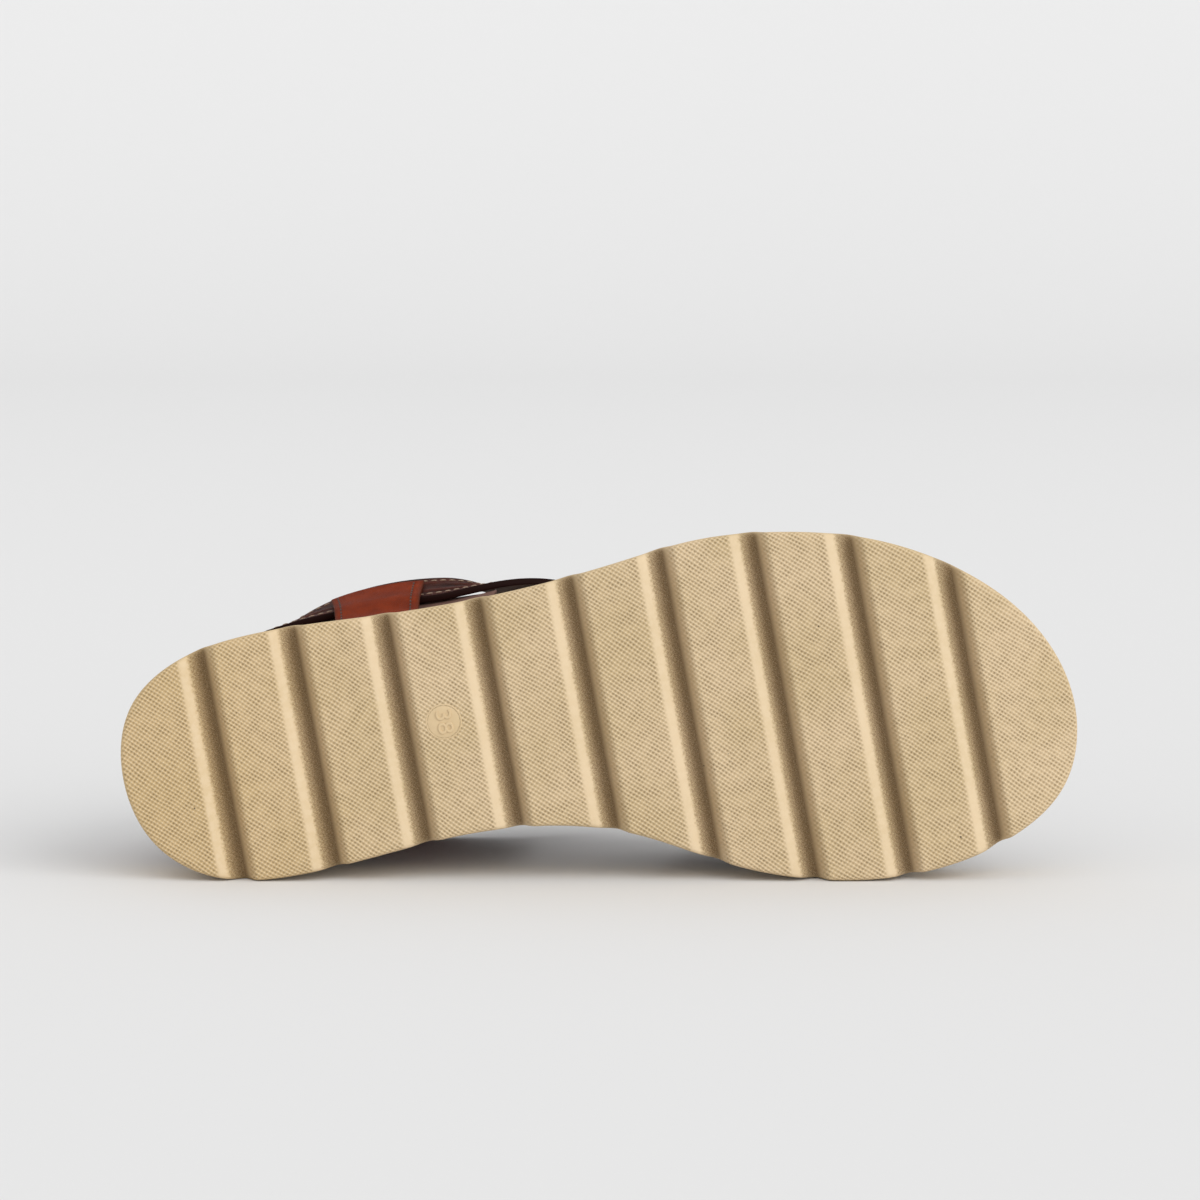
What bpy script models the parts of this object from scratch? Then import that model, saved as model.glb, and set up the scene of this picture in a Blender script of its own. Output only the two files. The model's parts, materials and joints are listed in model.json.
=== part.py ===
"""Right comfort sandal, size 38, lying on the inner edge of its sole with its tread to the front.

The sandal is modelled in its own frame and then laid down by the empty that carries it.
In the sandal's frame +X runs from heel to toe, square to the tread's grooves, +Y points to the
inner (medial) side of the foot and +Z points up from the tread. All lengths are in metres.
"""

import math

import bmesh
import bpy
import numpy as np
from mathutils import Matrix, Vector

# Sole
SOLE_LENGTH = 0.2542
BALL_WIDTH = 0.0949
HEEL_THICKNESS = 0.0270
FOREFOOT_THICKNESS = 0.0200
TOE_SPRING = 0.0070
TOE_SPRING_LENGTH = 0.0692
HEEL_BEVEL = 0.0010
HEEL_BEVEL_LENGTH = 0.030
SIDE_TAPER = 0.0022
EDGE_ROUND = 0.0012

# Tread grooves
GROOVE_PITCH = 0.0251
FIRST_GROOVE = 0.0269
GROOVE_DEPTH = 0.0052
GROOVE_REACH = 0.0074
TOE_LAND = 0.018
GROOVE_COUNT = 1 + int((SOLE_LENGTH - FIRST_GROOVE - TOE_LAND) / GROOVE_PITCH)

# Footbed
FOOTBED_THICKNESS = 0.0045
HEEL_CUP_RISE = 0.0040
ARCH_RISE = 0.0040
LEDGE = 0.0046

# Leather
GAP = 0.0003
STRAP_WALL = 0.0020
COUNTER_WALL = 0.0018
TAB_WALL = 0.0012

# Collar ring that the instep strap follows
COLLAR_CENTRE = 0.0742
COLLAR_HALF_LENGTH = 0.0597
COLLAR_HALF_WIDTH = 0.0314
COLLAR_FULLNESS = 0.88
INSTEP_FULLNESS = 0.75
COLLAR_HEIGHT = 0.075
INSTEP_RISE = 0.012
INSTEP_SLOPE = math.radians(45)
INSTEP_FADE = 0.034
HEEL_BULGE = 0.0022
HEEL_CURL = 1.6
SIDE_CURL = 3.0
STRAP_WIDTH = 0.018
COUNTER_BACK_RISE = 0.012
COUNTER_FRONT_DROP = 0.004
COUNTER_END = 0.104
TAB_REAR = 0.0594
TAB_WIDTH = 0.0256
TAB_TOP_MARGIN = 0.0060
TAB_STEP = 0.018

# Buckle on the instep
BUCKLE_TURN = math.radians(10)
BUCKLE_LENGTH = 0.0150
BUCKLE_WIRE = 0.0010
BUCKLE_CORNER = 0.0020
PRONG_WIRE = 0.0008
PRONG_HOLE = 0.0017
PRONG_PLACE = 0.0037
STRAP_TIP = 0.0215
TIP_TAPER = math.radians(14)
TIP_END = 0.12
KEEPER_PLACE = 0.0110
KEEPER_WIDTH = 0.0050
KEEPER_WALL = 0.0012

# Crossed forefoot straps
INSTEP_HEIGHT = 0.066
VAMP_STRAP_WIDTH = 0.031
VAMP_LAP = 0.0004
VAMP_CLIMB = 0.010
STRAP_SPAN = 1.3
FRONT_STRAP_INNER = 0.775 * SOLE_LENGTH
FRONT_STRAP_OUTER = 0.582 * SOLE_LENGTH
REAR_STRAP_INNER = 0.598 * SOLE_LENGTH
REAR_STRAP_OUTER = 0.732 * SOLE_LENGTH
LAST_FULLNESS = 2.5
CREST_SHIFT = 0.0060

# The tread's outline: shares of SOLE_LENGTH forward and of BALL_WIDTH to the inner side.
OUTLINE = [
    # forward, inner
    (0.0000, 0.000),
    (0.0236, -0.210),
    (0.0708, -0.300),
    (0.1570, -0.344),
    (0.2950, -0.332),
    (0.4330, -0.329),
    (0.5510, -0.353),
    (0.6370, -0.375),
    (0.7280, -0.353),
    (0.8140, -0.292),
    (0.8970, -0.172),
    (0.9640, 0.004),
    (1.0000, 0.279),
    (0.9720, 0.508),
    (0.9130, 0.612),
    (0.8060, 0.666),
    (0.7000, 0.631),
    (0.6100, 0.541),
    (0.5190, 0.410),
    (0.4330, 0.342),
    (0.3340, 0.323),
    (0.1570, 0.348),
    (0.0708, 0.305),
    (0.0236, 0.203),
]

# One groove from heel side to toe side: shares of GROOVE_REACH from its floor and of its depth.
GROOVE_PROFILE = [
    # reach, depth
    (-1.00, 0.00),
    (-0.78, 0.04),
    (-0.60, 0.15),
    (-0.45, 0.36),
    (-0.16, 0.88),
    (0.00, 1.00),
    (0.10, 0.92),
    (0.28, 0.42),
    (0.39, 0.12),
    (0.50, 0.00),
]

# Last over the forefoot: shares of SOLE_LENGTH forward and of INSTEP_HEIGHT above the footbed's seat.
LAST_CREST = [
    # forward, height
    (0.40, 1.02),
    (0.50, 0.88),
    (0.60, 0.70),
    (0.70, 0.56),
    (0.80, 0.48),
    (0.90, 0.42),
    (1.00, 0.36),
]

COLOURS = {
    # name: red, green, blue, roughness, metallic
    "sole_rubber": (0.60, 0.46, 0.27, 0.75, 0.0),
    "lining_suede": (0.16, 0.12, 0.11, 0.90, 0.0),
    "dark_leather": (0.045, 0.012, 0.008, 0.45, 0.0),
    "cognac_leather": (0.23, 0.055, 0.014, 0.50, 0.0),
    "old_brass": (0.45, 0.33, 0.16, 0.35, 1.0),
}


def soft_step(low, high, value):
    """0 below low, 1 above high and smooth between."""
    share = min(1.0, max(0.0, (value - low) / (high - low)))
    return share * share * (3 - 2 * share)


def smooth_row(table, place):
    """Reads the second column of a table at a place in its first, on a smooth curve."""
    places = [row[0] for row in table]
    values = [row[1] for row in table]
    slopes = np.gradient(values, places)
    place = min(max(place, places[0]), places[-1])
    i = min(int(np.searchsorted(places, place, side="right")) - 1, len(places) - 2)
    span = places[i + 1] - places[i]
    t = (place - places[i]) / span
    return float(
        (1 + 2 * t) * (1 - t) ** 2 * values[i]
        + t * (1 - t) ** 2 * span * slopes[i]
        + t * t * (3 - 2 * t) * values[i + 1]
        + t * t * (t - 1) * span * slopes[i + 1]
    )


def closed_spline(knots, per_span):
    """A closed cubic spline through the knots, as per_span points on each stretch."""
    knots = np.array(knots)
    count = len(knots)
    chords = np.roll(knots, -1, axis=0) - knots
    spans = np.linalg.norm(chords, axis=1)
    slopes = chords / spans[:, None]
    system = np.zeros((count, count))
    for i in range(count):
        system[i, i - 1] += spans[i - 1]
        system[i, i] += 2 * (spans[i - 1] + spans[i])
        system[i, (i + 1) % count] += spans[i]
    bends = np.linalg.solve(system, 6 * (slopes - np.roll(slopes, 1, axis=0)))
    points = []
    for i in range(count):
        after = (i + 1) % count
        for t in np.linspace(0, 1, per_span, endpoint=False):
            s = 1 - t
            bow = (s**3 - s) * bends[i] + (t**3 - t) * bends[after]
            points.append(s * knots[i] + t * knots[after] + spans[i] ** 2 / 6 * bow)
    return np.array(points)


def inset(outline, distance):
    """The outline moved inwards by a distance, point by point."""
    along = np.roll(outline, -1, axis=0) - np.roll(outline, 1, axis=0)
    along /= np.linalg.norm(along, axis=1)[:, None]
    inwards = np.stack([-along[:, 1], along[:, 0]], axis=1)
    return outline + distance * inwards


def across(outline, x):
    """Where the line at x crosses the outline: (outer side, inner side)."""
    low, high = outline[:, 0].min(), outline[:, 0].max()
    if x <= low or x >= high:
        end = outline[outline[:, 0].argmin() if x <= low else outline[:, 0].argmax()]
        return float(end[1]), float(end[1])
    after = np.roll(outline, -1, axis=0)
    crossing = (outline[:, 0] - x) * (after[:, 0] - x) <= 0
    crossing &= outline[:, 0] != after[:, 0]
    a, b = outline[crossing], after[crossing]
    y = a[:, 1] + (x - a[:, 0]) / (b[:, 0] - a[:, 0]) * (b[:, 1] - a[:, 1])
    return float(y.min()), float(y.max())


def reach(outline, direction):
    """How far the outline lies from the collar's centre in a direction."""
    start = outline - np.array([COLLAR_CENTRE, 0.0])
    step = np.roll(start, -1, axis=0) - start
    side = direction[0] * step[:, 1] - direction[1] * step[:, 0]
    side[side == 0] = 1e-12
    share = (start[:, 0] * direction[1] - start[:, 1] * direction[0]) / side
    distance = (start[:, 0] * step[:, 1] - start[:, 1] * step[:, 0]) / side
    hits = (share >= 0) & (share <= 1) & (distance > 0)
    return float(distance[hits].min())


TREAD_OUTLINE = closed_spline([(x * SOLE_LENGTH, y * BALL_WIDTH) for x, y in OUTLINE], 12)
FEATHER_EDGE = inset(TREAD_OUTLINE, SIDE_TAPER + LEDGE - GAP)
FOOTBED_EDGE = inset(TREAD_OUTLINE, SIDE_TAPER + LEDGE)
COLLAR_FOOT = inset(TREAD_OUTLINE, SIDE_TAPER + LEDGE - 3 * GAP - COUNTER_WALL)


def tread_base(x):
    """Height of the uncut tread: flat, with the toe's spring and a slight lift at the heel."""
    toe = max(0.0, x - SOLE_LENGTH + TOE_SPRING_LENGTH) / TOE_SPRING_LENGTH
    heel = max(0.0, HEEL_BEVEL_LENGTH - x) / HEEL_BEVEL_LENGTH
    return TOE_SPRING * toe**2 + HEEL_BEVEL * heel**2


def groove_cut(x):
    """Depth of the tread's grooves at x."""
    reaches = [row[0] * GROOVE_REACH for row in GROOVE_PROFILE]
    depths = [row[1] * GROOVE_DEPTH for row in GROOVE_PROFILE]
    nearest = round((x - FIRST_GROOVE) / GROOVE_PITCH)
    nearest = min(max(nearest, 0), GROOVE_COUNT - 1)
    return float(np.interp(x - FIRST_GROOVE - nearest * GROOVE_PITCH, reaches, depths))


def seat_height(x):
    """Height of the sole's top, which slopes down from the heel and follows the toe's spring."""
    slope = soft_step(0.20 * SOLE_LENGTH, 0.68 * SOLE_LENGTH, x)
    thickness = HEEL_THICKNESS + (FOREFOOT_THICKNESS - HEEL_THICKNESS) * slope
    return thickness + max(0.0, tread_base(x) - HEEL_BEVEL)


def fitted(edge, x):
    """Moves a place along the sole so that the whole length just fits an inset edge's two ends."""
    last_groove = FIRST_GROOVE + (GROOVE_COUNT - 1) * GROOVE_PITCH
    heel = 1 - soft_step(0, FIRST_GROOVE - GROOVE_REACH, x)
    toe = soft_step(last_groove + GROOVE_REACH, SOLE_LENGTH, x)
    return x + heel * edge[:, 0].min() + toe * (edge[:, 0].max() - SOLE_LENGTH)


def end_stations(start, end, count):
    """Stations that crowd towards start, where the outline turns round."""
    return [start + (end - start) * (i / count) ** 2 for i in range(count + 1)]


def new_object(name, mesh, colour):
    """Links a mesh as a named part of the sandal, with its own material."""
    obj = bpy.data.objects.new(name, mesh)
    SANDAL.objects.link(obj)
    obj.parent = FRAME
    red, green, blue, roughness, metallic = COLOURS[colour]
    material = bpy.data.materials.new(name)
    material.use_nodes = True
    shader = material.node_tree.nodes["Principled BSDF"]
    shader.inputs["Base Color"].default_value = (red, green, blue, 1.0)
    shader.inputs["Roughness"].default_value = roughness
    shader.inputs["Metallic"].default_value = metallic
    mesh.materials.append(material)
    if obj.type == "MESH":
        mesh.shade_smooth()
    return obj


def grid_mesh(name, rows, closed_columns=False):
    """An open or closed surface through rows of points, with equal ends merged."""
    form = bmesh.new()
    grid = [[form.verts.new(point) for point in row] for row in rows]
    row_count, column_count = len(grid), len(grid[0])
    for i in range(row_count - 1):
        for j in range(column_count if closed_columns else column_count - 1):
            after = (j + 1) % column_count
            form.faces.new((grid[i][j], grid[i + 1][j], grid[i + 1][after], grid[i][after]))
    bmesh.ops.remove_doubles(form, verts=form.verts, dist=1e-6)
    bmesh.ops.recalc_face_normals(form, faces=form.faces)
    mesh = bpy.data.meshes.new(name)
    form.to_mesh(mesh)
    form.free()
    return mesh


def leather(name, rows, wall, colour, closed_columns=False):
    """A leather piece: an open surface on its inner face, thickened outwards."""
    mesh = grid_mesh(name, rows, closed_columns)
    obj = new_object(name, mesh, colour)
    thicken = obj.modifiers.new("Wall", "SOLIDIFY")
    thicken.thickness = wall
    thicken.offset = 1.0
    thicken.use_even_offset = True
    return obj


def face_outwards(obj, point, direction):
    """Turns an open surface so that its face nearest to point looks along direction."""
    mesh = obj.data
    nearest = min(mesh.polygons, key=lambda face: (face.center - Vector(point)).length)
    if nearest.normal.dot(Vector(direction)) < 0:
        mesh.flip_normals()


def sole_stations():
    """Stations along the sole: both ends, every break of each groove and the lands between."""
    last_groove = FIRST_GROOVE + (GROOVE_COUNT - 1) * GROOVE_PITCH
    heel_land = FIRST_GROOVE - GROOVE_REACH
    toe_land = last_groove + GROOVE_PROFILE[-1][0] * GROOVE_REACH
    stations = end_stations(0.0, heel_land, 8)[:-1]
    for i in range(GROOVE_COUNT):
        floor = FIRST_GROOVE + i * GROOVE_PITCH
        stations += [floor + row[0] * GROOVE_REACH for row in GROOVE_PROFILE]
        if i < GROOVE_COUNT - 1:
            land = floor + GROOVE_PROFILE[-1][0] * GROOVE_REACH
            stations.append((land + floor + GROOVE_PITCH - GROOVE_REACH) / 2)
    return stations + end_stations(SOLE_LENGTH, toe_land, 9)[-2::-1]


def make_outsole():
    """Sole unit: one moulded block, lofted through sections that follow the tread's grooves."""
    levels = [
        # inset, rise above the tread, share of the way up the side
        (EDGE_ROUND, 0.0, 0.0),
        (0.3 * EDGE_ROUND, 0.3 * EDGE_ROUND, 0.0),
        (0.0, EDGE_ROUND, 0.0),
        (SIDE_TAPER, -EDGE_ROUND / 2, 1.0),
        (SIDE_TAPER + EDGE_ROUND / 2, 0.0, 1.0),
    ]
    edges = [inset(TREAD_OUTLINE, distance) for distance, _, _ in levels]
    rows = []
    for x in sole_stations():
        outer, inner = [], []
        for (_, rise, share), edge in zip(levels, edges):
            place = fitted(edge, x)
            low, high = across(edge, place)
            bottom = tread_base(x) + groove_cut(x)
            z = bottom * (1 - share) + seat_height(place) * share + rise
            outer.append((place, low, z))
            inner.append((place, high, z))
        rows.append(outer + inner[::-1])
    return new_object("outsole", grid_mesh("outsole", rows, closed_columns=True), "sole_rubber")


def footbed_top(x, y, low, high):
    """Height of the footbed above its seat: a heel cup and an arch on the inner side."""
    side = (y - (low + high) / 2) / max((high - low) / 2, 1e-6)
    cup = HEEL_CUP_RISE * (1 - soft_step(0.10 * SOLE_LENGTH, 0.46 * SOLE_LENGTH, x))
    arch_place = (x - 0.42 * SOLE_LENGTH) / (0.13 * SOLE_LENGTH)
    arch = ARCH_RISE * math.exp(-(arch_place**2)) * soft_step(0.0, 1.0, side)
    back = 1 - soft_step(0.0, 0.09 * SOLE_LENGTH, x)
    return FOOTBED_THICKNESS + cup * max(side**4, back) + arch


def make_footbed():
    """Contoured footbed on the sole's top, inside the straps and the counter."""
    heel, toe = FOOTBED_EDGE[:, 0].min(), FOOTBED_EDGE[:, 0].max()
    middle = (heel + toe) / 2
    shares = [-1.0, -0.93, -0.78, -0.5, 0.0, 0.5, 0.78, 0.93, 1.0]
    rows = []
    for place in end_stations(heel, middle, 18)[:-1] + end_stations(toe, middle, 18)[::-1]:
        low, high = across(FOOTBED_EDGE, place)
        seat = seat_height(place) + GAP
        row = [(place, low, seat), (place, high, seat)]
        for share in reversed(shares):
            y = (low + high) / 2 + share * (high - low) / 2
            row.append((place, y, seat + footbed_top(place, y, low, high)))
        rows.append(row)
    return new_object("footbed", grid_mesh("footbed", rows, closed_columns=True), "lining_suede")


def lifted(surface, u, v, lift, step_u, step_v):
    """A point of a surface moved along the surface's normal, away from the foot."""
    point = np.array(surface(u, v))
    along_u = np.array(surface(u + step_u, v)) - np.array(surface(u - step_u, v))
    along_v = np.array(surface(u, v + step_v)) - np.array(surface(u, v - step_v))
    normal = np.cross(along_u, along_v)
    return point + lift * normal / np.linalg.norm(normal)


def collar_height(turn):
    """Height of the collar ring's middle line: level at the heel, higher over the instep."""
    return COLLAR_HEIGHT + INSTEP_RISE * soft_step(0.1, 1.0, math.cos(turn))


def collar_spoke(turn):
    """The collar ring at a turn: its radius, its direction, its foot and the drop to the ledge."""
    front = soft_step(0.0, 0.6, math.cos(turn))
    fullness = COLLAR_FULLNESS + (INSTEP_FULLNESS - COLLAR_FULLNESS) * front
    side = math.copysign(abs(math.sin(turn)) ** fullness, math.sin(turn))
    spoke = np.array([COLLAR_HALF_LENGTH * math.cos(turn), COLLAR_HALF_WIDTH * side])
    ring = float(np.linalg.norm(spoke))
    direction = spoke / ring
    foot = reach(COLLAR_FOOT, direction)
    drop = collar_height(turn) - seat_height(COLLAR_CENTRE + foot * direction[0]) - GAP
    return ring, direction, foot, drop


def collar_surface(turn, rise):
    """Face under the strap: turn runs round from the toe side over the inner side, rise goes up."""
    ring, direction, foot, drop = collar_spoke(turn)
    wall_rise = rise * drop / math.hypot(drop, foot - ring)
    share = max(0.0, 1 + wall_rise / drop)
    rear = soft_step(0.2, 1.0, -math.cos(turn))
    curl = HEEL_CURL + (SIDE_CURL - HEEL_CURL) * math.sin(turn) ** 2
    wall = foot + (ring - foot) * share**curl + HEEL_BULGE * rear * math.sin(math.pi * share)
    above = soft_step(-INSTEP_FADE, -STRAP_WIDTH / 2, rise)
    front = soft_step(0.25, 0.90, math.cos(turn)) * above
    distance = wall * (1 - front) + (ring - rise * math.sin(INSTEP_SLOPE)) * front
    climb = wall_rise * (1 - front) + rise * math.cos(INSTEP_SLOPE) * front
    return (
        COLLAR_CENTRE + distance * direction[0],
        distance * direction[1],
        collar_height(turn) + climb,
    )


def collar_point(turn, rise, lift):
    """A point outside the collar surface by lift."""
    return lifted(collar_surface, turn, rise, lift, math.radians(1), 0.001)


def foot_rise(turn):
    """The rise at which the collar surface meets the sole's ledge."""
    ring, _, foot, drop = collar_spoke(turn)
    return -math.hypot(drop, foot - ring)


def turn_at(x):
    """The turn, between 0 and pi, at which the collar ring passes x."""
    return math.acos((x - COLLAR_CENTRE) / COLLAR_HALF_LENGTH)


def turn_after(turn, distance):
    """The turn that lies a distance further along the collar ring."""
    steps = 20
    for _ in range(steps):
        speed = math.hypot(COLLAR_HALF_LENGTH * math.sin(turn), COLLAR_HALF_WIDTH * math.cos(turn))
        turn += distance / steps / speed
    return turn


def make_heel_counter():
    """Heel counter: a leather shell from the ledge up, round the heel between the two tabs."""
    end = turn_at(COUNTER_END)
    lift = -2 * GAP - COUNTER_WALL
    rows = []
    for turn in np.linspace(end, 2 * math.pi - end, 45):
        back = soft_step(0.15, 1.0, (math.cos(end) - math.cos(turn)) / (1 + math.cos(end)))
        top = -COUNTER_FRONT_DROP + (COUNTER_BACK_RISE + COUNTER_FRONT_DROP) * back
        bottom = foot_rise(turn)
        rises = [bottom + (top - bottom) * j / 8 for j in range(9)]
        rows.append([collar_point(turn, rise, lift) for rise in rises])
    obj = leather("heel_counter", rows, COUNTER_WALL, "dark_leather")
    heel = min(rows, key=lambda row: row[0][0])
    face_outwards(obj, heel[4], (-1, 0, 0))
    return obj


def make_side_tab(name, side):
    """Tab that is stitched over the strap: side is 1 on the inner and -1 on the outer side."""
    rear, front = turn_at(TAB_REAR), turn_at(TAB_REAR + TAB_WIDTH)
    over_strap = STRAP_WALL + GAP
    rows = []
    for turn in np.linspace(rear, front, 7):
        bottom, top = foot_rise(turn), STRAP_WIDTH / 2 - TAB_TOP_MARGIN
        row = []
        for j in range(13):
            rise = bottom + (top - bottom) * j / 12
            climb = soft_step(-STRAP_WIDTH / 2 - TAB_STEP, -STRAP_WIDTH / 2 - STRAP_WALL, rise)
            row.append(collar_point(side * turn, rise, over_strap * climb))
        rows.append(row)
    obj = leather(name, rows, TAB_WALL, "cognac_leather")
    face_outwards(obj, rows[3][6], (0, side, 0))
    return obj


def strap_path():
    """The instep strap from its fixed end at the buckle, back round the heel and over itself."""
    hinge = turn_after(BUCKLE_TURN, -BUCKLE_LENGTH / 2)
    front_bar = turn_after(BUCKLE_TURN, BUCKLE_LENGTH / 2)
    start = turn_after(hinge, -(BUCKLE_WIRE + GAP))
    tip = turn_after(hinge, -STRAP_TIP)
    return hinge, front_bar, start, tip


def over_lift(turn):
    """How far the strap's free end stands off: it climbs from the front bar over the hinge bar."""
    hinge, front_bar, _, _ = strap_path()
    return (STRAP_WALL + GAP) * soft_step(-front_bar, -hinge, -turn)


def make_instep_strap():
    """Instep strap: one band, whose free end passes the buckle and lies over its fixed end."""
    hinge, front_bar, start, tip = strap_path()
    full = 2 * math.pi
    before_bar = front_bar + math.radians(10) - full
    turns = [*np.linspace(start, before_bar, 62)[:-1], *np.linspace(before_bar, hinge - full, 10)]
    turns += [*np.linspace(hinge - full, tip - full, 8)[1:]]
    rows = []
    for turn in turns:
        free = turn < start - math.pi
        lift = over_lift(turn + full) if free else 0.0
        to_tip = max(0.0, turn - (tip - full)) / TIP_TAPER
        half = STRAP_WIDTH / 2
        if free:
            half *= math.sqrt(max(TIP_END, 1 - (1 - min(1.0, to_tip)) ** 2))
        rows.append([collar_point(turn, share * half, lift) for share in (-1, -0.4, 0.4, 1)])
    obj = leather("instep_strap", rows, STRAP_WALL, "dark_leather")
    back = rows[len(rows) // 2][1]
    face_outwards(obj, back, back - np.array([COLLAR_CENTRE, 0, back[2]]))
    hole = turn_after(hinge, PRONG_PLACE)
    above = 2 * STRAP_WALL + BUCKLE_WIRE
    cut_hole(obj, "prong_hole", collar_point(hole, 0, -GAP), collar_point(hole, 0, above))
    return obj


def cut_hole(obj, name, start, end):
    """Cuts a round hole through obj along the line from start to end."""
    start, end = Vector(start), Vector(end)
    form = bmesh.new()
    bmesh.ops.create_cone(
        form,
        cap_ends=True,
        segments=16,
        radius1=PRONG_HOLE,
        radius2=PRONG_HOLE,
        depth=(end - start).length,
    )
    turn = (end - start).to_track_quat("Z", "Y").to_matrix().to_4x4()
    form.transform(Matrix.Translation((start + end) / 2) @ turn)
    mesh = bpy.data.meshes.new(name)
    form.to_mesh(mesh)
    form.free()
    cutter = bpy.data.objects.new(name, mesh)
    CUTTERS.objects.link(cutter)
    cutter.parent = FRAME
    cutter.hide_render = True
    cutter.display_type = "WIRE"
    cut = obj.modifiers.new(name, "BOOLEAN")
    cut.operation = "DIFFERENCE"
    cut.object = cutter


def wire(name, points, radius, colour, closed):
    """A round wire through points."""
    curve = bpy.data.curves.new(name, "CURVE")
    curve.dimensions = "3D"
    curve.bevel_depth = radius
    curve.bevel_resolution = 2
    curve.use_fill_caps = True
    spline = curve.splines.new("POLY")
    spline.points.add(len(points) - 1)
    for target, point in zip(spline.points, points):
        target.co = (*point, 1.0)
    spline.use_cyclic_u = closed
    return new_object(name, curve, colour)


def buckle_lift(place):
    """Lift of the buckle frame's wire at a place from its hinge bar (0) to its front bar (1)."""
    return BUCKLE_WIRE + (STRAP_WALL + 3 * GAP) * place


def make_buckle():
    """Buckle frame round the strap, and the prong through the strap's hole."""
    hinge = strap_path()[0]
    half_width = STRAP_WIDTH / 2 + GAP + BUCKLE_WIRE
    flat_side = half_width - BUCKLE_CORNER
    flat_run = BUCKLE_LENGTH / 2 - BUCKLE_CORNER
    outline = []
    for i, (end, side) in enumerate(((1, 1), (-1, 1), (-1, -1), (1, -1))):
        for k in range(5):
            angle = math.radians(90 * i + 22.5 * k)
            along = end * flat_run + BUCKLE_CORNER * math.cos(angle)
            outline.append((along, side * flat_side + BUCKLE_CORNER * math.sin(angle)))
        if i in (0, 2):
            outline += [(-end * share * flat_run, side * half_width) for share in (-0.5, 0.0, 0.5)]
    frame_points = []
    for along, side in outline:
        share = along / BUCKLE_LENGTH + 0.5
        turn = turn_after(hinge, share * BUCKLE_LENGTH)
        frame_points.append(collar_point(turn, side, buckle_lift(share)))
    wire("buckle_frame", frame_points, BUCKLE_WIRE, "old_brass", closed=True)

    rest = buckle_lift(1) + BUCKLE_WIRE + GAP + PRONG_WIRE
    start = BUCKLE_WIRE + GAP
    run = BUCKLE_LENGTH - PRONG_PLACE
    prong = [
        # distance before the hinge bar, lift
        (start, BUCKLE_WIRE),
        ((start + PRONG_PLACE) / 2, BUCKLE_WIRE),
        (PRONG_PLACE - 0.3 * PRONG_WIRE, 2 * BUCKLE_WIRE),
        (PRONG_PLACE + 0.2 * PRONG_WIRE, rest - 1.6 * PRONG_WIRE),
        (PRONG_PLACE + PRONG_WIRE + 0.05 * run, rest - 0.3 * PRONG_WIRE),
        (PRONG_PLACE + 0.5 * run, rest + 0.5 * PRONG_WIRE),
        (BUCKLE_LENGTH, rest),
        (BUCKLE_LENGTH + 2 * BUCKLE_WIRE, rest - 0.2 * PRONG_WIRE),
    ]
    points = [collar_point(turn_after(hinge, along), 0, lift) for along, lift in prong]
    wire("buckle_prong", points, PRONG_WIRE, "old_brass", closed=False)


def make_keeper():
    """Keeper: a small leather loop round both layers of the strap."""
    middle = turn_after(strap_path()[0], -KEEPER_PLACE)
    half = STRAP_WIDTH / 2 + GAP
    low, high = -GAP, 2 * STRAP_WALL + 2 * GAP
    loop = []
    for rise, lift in ((-half, low), (-half / 2, low), (0, low), (half / 2, low), (half, low)):
        loop.append((rise, lift))
    for rise, lift in ((half, high), (half / 2, high), (0, high), (-half / 2, high), (-half, high)):
        loop.append((rise, lift))
    rows = []
    for share in (-0.5, 0.0, 0.5):
        turn = turn_after(middle, share * KEEPER_WIDTH)
        rows.append([collar_point(turn, rise, lift) for rise, lift in loop])
    obj = leather("strap_keeper", rows, KEEPER_WALL, "dark_leather", closed_columns=True)
    outside = rows[1][7] - rows[1][2]
    face_outwards(obj, (rows[0][7] + rows[1][7]) / 2, outside)
    return obj


def last_surface(x, turn):
    """Top of the foot: turn runs over it from the inner feather edge (0) to the outer one (pi)."""
    low, high = across(FEATHER_EDGE, x)
    crest = smooth_row(LAST_CREST, x / SOLE_LENGTH) * INSTEP_HEIGHT
    power = 2 / LAST_FULLNESS
    cosine, sine = math.cos(turn), math.sin(turn)
    y = (low + high) / 2 + (high - low) / 2 * math.copysign(abs(cosine) ** power, cosine)
    bow = math.copysign(abs(sine) ** power, sine)
    return x, y + CREST_SHIFT * bow**3, seat_height(x) + GAP + crest * bow


def last_point(x, turn, lift):
    """A point outside the last's surface by lift."""
    return lifted(last_surface, x, turn, -lift, 0.001, math.radians(0.5))


def strap_middle(inner_x, outer_x, turn):
    """Where a crossed strap's middle line lies: it swings evenly from inner to outer side."""
    return inner_x + (outer_x - inner_x) * turn / math.pi


def vamp_strap(name, inner_x, outer_x, under=None):
    """One crossed strap over the last; it climbs over the strap under it where they cross."""
    skew = math.atan2(abs(outer_x - inner_x), STRAP_SPAN * BALL_WIDTH)
    half = VAMP_STRAP_WIDTH / 2 / math.cos(skew)
    rows = []
    for i in range(33):
        share = i / 32
        turn = math.pi * share
        row = []
        for side in (-1.0, -0.5, 0.0, 0.5, 1.0):
            x = strap_middle(inner_x, outer_x, turn) + side * half
            lift = 0.0
            if under:
                apart = abs(x - strap_middle(*under, turn)) - half
                lift = (STRAP_WALL - VAMP_LAP) * (1 - soft_step(3 * GAP, 3 * GAP + VAMP_CLIMB, apart))
            row.append(last_point(x, turn, lift))
        rows.append(row)
    obj = leather(name, rows, STRAP_WALL, "dark_leather")
    face_outwards(obj, rows[16][2], (0, 0, 1))
    return obj


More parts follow.
